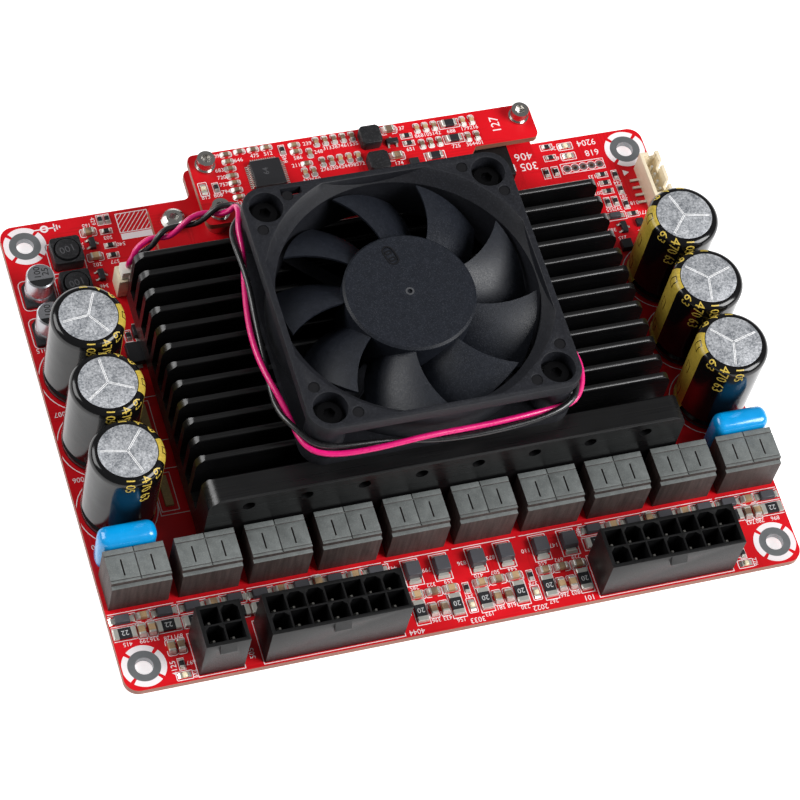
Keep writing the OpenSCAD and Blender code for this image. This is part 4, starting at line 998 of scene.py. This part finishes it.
# %% printed symbols
EARTH_Y, HATCH_X = 56.2, -46
ink.stamp(brick((5.0, 0.3, INK_T)), (-66.0, EARTH_Y, BOARD_T))
ink.stamp(band(0.5, 0.95), (-66, EARTH_Y, BOARD_T))
for x, tall in ((-63.7, 2.0), (-63.1, 1.3), (-62.5, 0.6)):
    ink.stamp(brick((0.28, tall, INK_T)), (x, EARTH_Y, BOARD_T))
ink.stamp(disc(0.95, 3), (69.2, 46.3, BOARD_T), -90)
ink.stamp(brick((1.5, 1.9, INK_T)), (38.85, 45.25, MODULE_TOP))
hatch = bmesh.new()
for step in range(-6, 13):
    hatch.from_mesh(brick((0.16, 12, INK_T), at=(step * 0.8, 0, 0)))
slant = Matrix.Rotation(math.radians(-40), 3, "Z")
bmesh.ops.rotate(hatch, cent=(0, 0, 0), matrix=slant, verts=hatch.verts)
for side in (-1, 1):
    trim(hatch, (side * 3.6, 0, 0), (side, 0, 0))
    trim(hatch, (0, side * 2.5, 0), (0, side, 0))
ink.stamp(keep(hatch), (HATCH_X, 54.6, BOARD_T))
ink.stamp(frame_line(7.4, 5.2, 0.2), (HATCH_X, 54.6, BOARD_T))
ink.stamp(brick((7.2, 1.6, INK_T)), (HATCH_X, 51.0, BOARD_T))
print("ink so far:", len(ink.bm.faces), "faces")

# %% [markdown]
# ## Labels
# Beside almost every part stands a short label. A layout program finds the room for them in the same way as
# this cell does: it tries the sides of a part in turn and takes the first one where nothing stands or is
# printed yet. The main board is read from behind and the upper board from the front.

# %% room that is taken
STANDING = ("speaker_header_left", "speaker_header_right", "power_header", "output_inductors",
            "power_inductors", "smd_capacitor_bases", "signal_header", "fan_header", "small_chips",
            "processor_chip", "upper_inductors")
FRAME_ROOM, LABEL_GAP = 0.55, 0.12
chips = capacitors + resistors + diodes + lamps
# Lowest and highest corner of the main and of the upper board
MAIN, UPPER = (Vector((-75.6, -57.6, 0)), Vector((75.6, 57.6, 0))), islands("upper_board")[0]


def around(x, y, half_x, half_y, level):
    """An area: left, right, front, back and level."""
    return (x - half_x, x + half_x, y - half_y, y + half_y, level)


def covered(box, room=0.0):
    low, high = box
    return (low.x - room, high.x + room, low.y - room, high.y + room, low.z)


taken = [covered(box) for node in STANDING for box in islands(node)]
taken += [covered(box, FRAME_ROOM) for box in chips]
taken += [around(x, y, 4.9, 4.9, BOARD_T) for x, y in MOUNTS]
taken += [around(x, CAN_FIRST + CAN_PITCH, CAN_R, CAN_PITCH + CAN_R, BOARD_T) for x, stripe in BANKS]
taken += [(-76, 76, -40.0, -39.4, BOARD_T), (-50, -42, 50, 57.4, BOARD_T),
          (-67, -62, 54.8, 57.6, BOARD_T), (54.6, 65.2, 48.2, 51.4, BOARD_T)]
taken += [around(x, 53.8, 3.2, 3.2, UPPER_TOP) for x in (-37.7, 42.6)]
print("areas taken:", len(taken))


# %% labels in the free room
def has_room(left, right, front, back, level):
    low, high = UPPER if level > MODULE_TOP else MAIN
    inside = low.x < left and right < high.x and low.y < front and back < high.y
    return inside and not any(left < t[1] and right > t[0] and front < t[3] and back > t[2]
                              and abs(level - t[4]) < 1 for t in taken)


def label(text, box, size, turn, sides):
    low, high = box
    middle, half = (low + high) / 2, (high - low) / 2
    width = 0.64 * size * len(text)
    for side_x, side_y, quarter in sides:
        wide, deep = (size, width) if quarter else (width, size)
        x = middle.x + side_x * (half.x + FRAME_ROOM + LABEL_GAP + wide / 2)
        y = middle.y + side_y * (half.y + FRAME_ROOM + LABEL_GAP + deep / 2)
        area = around(x, y, wide / 2, deep / 2, low.z)
        if has_room(*area):
            ink.stamp(numerals(text, size), (x, y, low.z), turn + quarter)
            taken.append(area)
            return 1
    return 0


for z, turn, size, words in (
        (MODULE_TOP, 180, 2.0, ((42.3, 47.9, "406"), (42.8, 45.1, "305"))),
        (UPPER_TOP, 90, 2.0, ((36.7, 54.2, "127"),)),
        (BOARD_T, 180, 1.6, ((62.7, 56.1, "9204"), (63.2, 53.2, "618"))),
        (BOARD_T, 180, 1.2, ((-12.7, -57, "4044"), (1.0, -57, "3033"), (15.2, -57, "2022"),
                             (26.4, -57, "101"))),
        (BOARD_T, 90, 1.2, ((-48.4, -54.5, "505"), (62.4, -54.5, "101"), (-65.2, -54.4, "4125")))):
    for x, y, text in words:
        ink.stamp(numerals(text, size), (x, y, z), turn)
        taken.append(around(x, y, size, size, z))
for row, text in enumerate(("010", "006", "007", "015")):
    for x in (-73.9, 73.9):
        ink.stamp(numerals(text, 1.2), (x, -23.4 + CAN_PITCH * row * 0.98, BOARD_T), 180)
# A side is a step in X, a step in Y, and the turn of a label that stands upright
LEFT, RIGHT, FRONT, BEHIND = (-1, 0, 0), (1, 0, 0), (0, -1, 0), (0, 1, 0)
LEFT_UP, RIGHT_UP, FRONT_UP, BEHIND_UP = (-1, 0, 90), (1, 0, 90), (0, -1, 90), (0, 1, 90)
placed = 0
for number, box in enumerate(chips + leaded + islands("power_inductors") + islands("smd_capacitor_bases")):
    turn, sides = 180, (FRONT, BEHIND, LEFT, RIGHT, LEFT_UP, RIGHT_UP, FRONT_UP, BEHIND_UP)
    if box[0].z > MODULE_TOP:
        turn, sides = 0, (FRONT, RIGHT, LEFT, BEHIND, FRONT_UP, RIGHT_UP)
    placed += label(str(100 + number * 37 % 800), box, 0.95, turn, sides)
print("labels placed:", placed)

# %% ink kept within the board
for place, away in (((-75.9, 0, 0), (-1, 0, 0)), ((75.9, 0, 0), (1, 0, 0)),
                    ((0, -57.8, 0), (0, -1, 0))):
    trim(ink.bm, place, away)
ink.done()

# %% a few more small chips
piece = Piece("corner_chips", "chip_black", EPOXY, TIN)
for x, y, turn in EXTRA:
    piece.stamp(shape(two_ended, 1.7, 0.95, 0.65, 0.38, 0.35), (x, y, BOARD_T), turn)
for x, y, size in ((-54.4, 20.6, (3.6, 5.2, 1.7)), (-52.6, 26.2, (1.9, 3.0, 1.4))):
    piece.stamp(brick(size, bevel=0.12, taper=0.06), (x, y, BOARD_T))
    piece.stamp(brick((size[0] * 0.6, size[1] + 1.6, 0.3), bevel=0.05, slot=1), (x, y, BOARD_T))
piece.done()


# %% [markdown]
# ## The studio
# The photograph has a white ground and light from large soft boxes. The floor is white paper; the camera
# and mirror-like surfaces see it as plain white through Light Path, while the object still throws its soft
# shadow on it. One box high on the right lights the tops and leaves the left sides dark; a second one at
# the back on the left draws the bright edges.

# %% floor
def paper_floor():
    bm = bmesh.new()
    bmesh.ops.create_grid(bm, x_segments=1, y_segments=1, size=3)
    mesh = keep(bm)
    paper = put("floor", mesh)
    paper.location.z = cad_low.z - 0.0001
    f = Finish("white paper", (0.86, 0.86, 0.86), 0.9, specular=0.0)
    rays = f.node("LightPath", out=("Is Camera Ray", "Is Glossy Ray", "Is Transmission Ray"))
    seen = rays[0].math("MAXIMUM", rays[1]).math("MAXIMUM", rays[2])
    f.feed("Emission Color", f.tint(seen, (0, 0, 0, 1), (0.7, 0.7, 0.7, 1)))
    f.feed("Emission Strength", 1.0)
    mesh.materials.append(f.material)
    paper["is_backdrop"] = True


paper_floor()
print("floor at", round(1000 * cad_low.z, 1), "mm")

# %% lights
LAMPS = (("key box", (0.8, -0.55, 0.85), 0.7, 20.5), ("back box", (-0.85, 0.5, 0.7), 0.7, 9.5))
for name, place, size, power in LAMPS:
    data = bpy.data.lights.new(name, "AREA")
    data.size, data.energy = size, power
    box = put(name, data)
    box.location = place
    box.rotation_mode = "QUATERNION"
    box.rotation_quaternion = Vector(place).to_track_quat("Z", "Y")
world = bpy.data.worlds.new("studio")
bpy.context.scene.world = world
world.use_nodes = True
world.node_tree.nodes["Background"].inputs["Color"].default_value = (1, 1, 1, 1)
world.node_tree.nodes["Background"].inputs["Strength"].default_value = 0.2
bpy.context.scene.view_settings.view_transform = "Standard"
print("lamps:", [name for name, *rest in LAMPS])

# %% [markdown]
# ## Closing
# The box round the dressed model is worked out last, as that of the CAD model was at the start.

# %% close the scene
low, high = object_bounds()
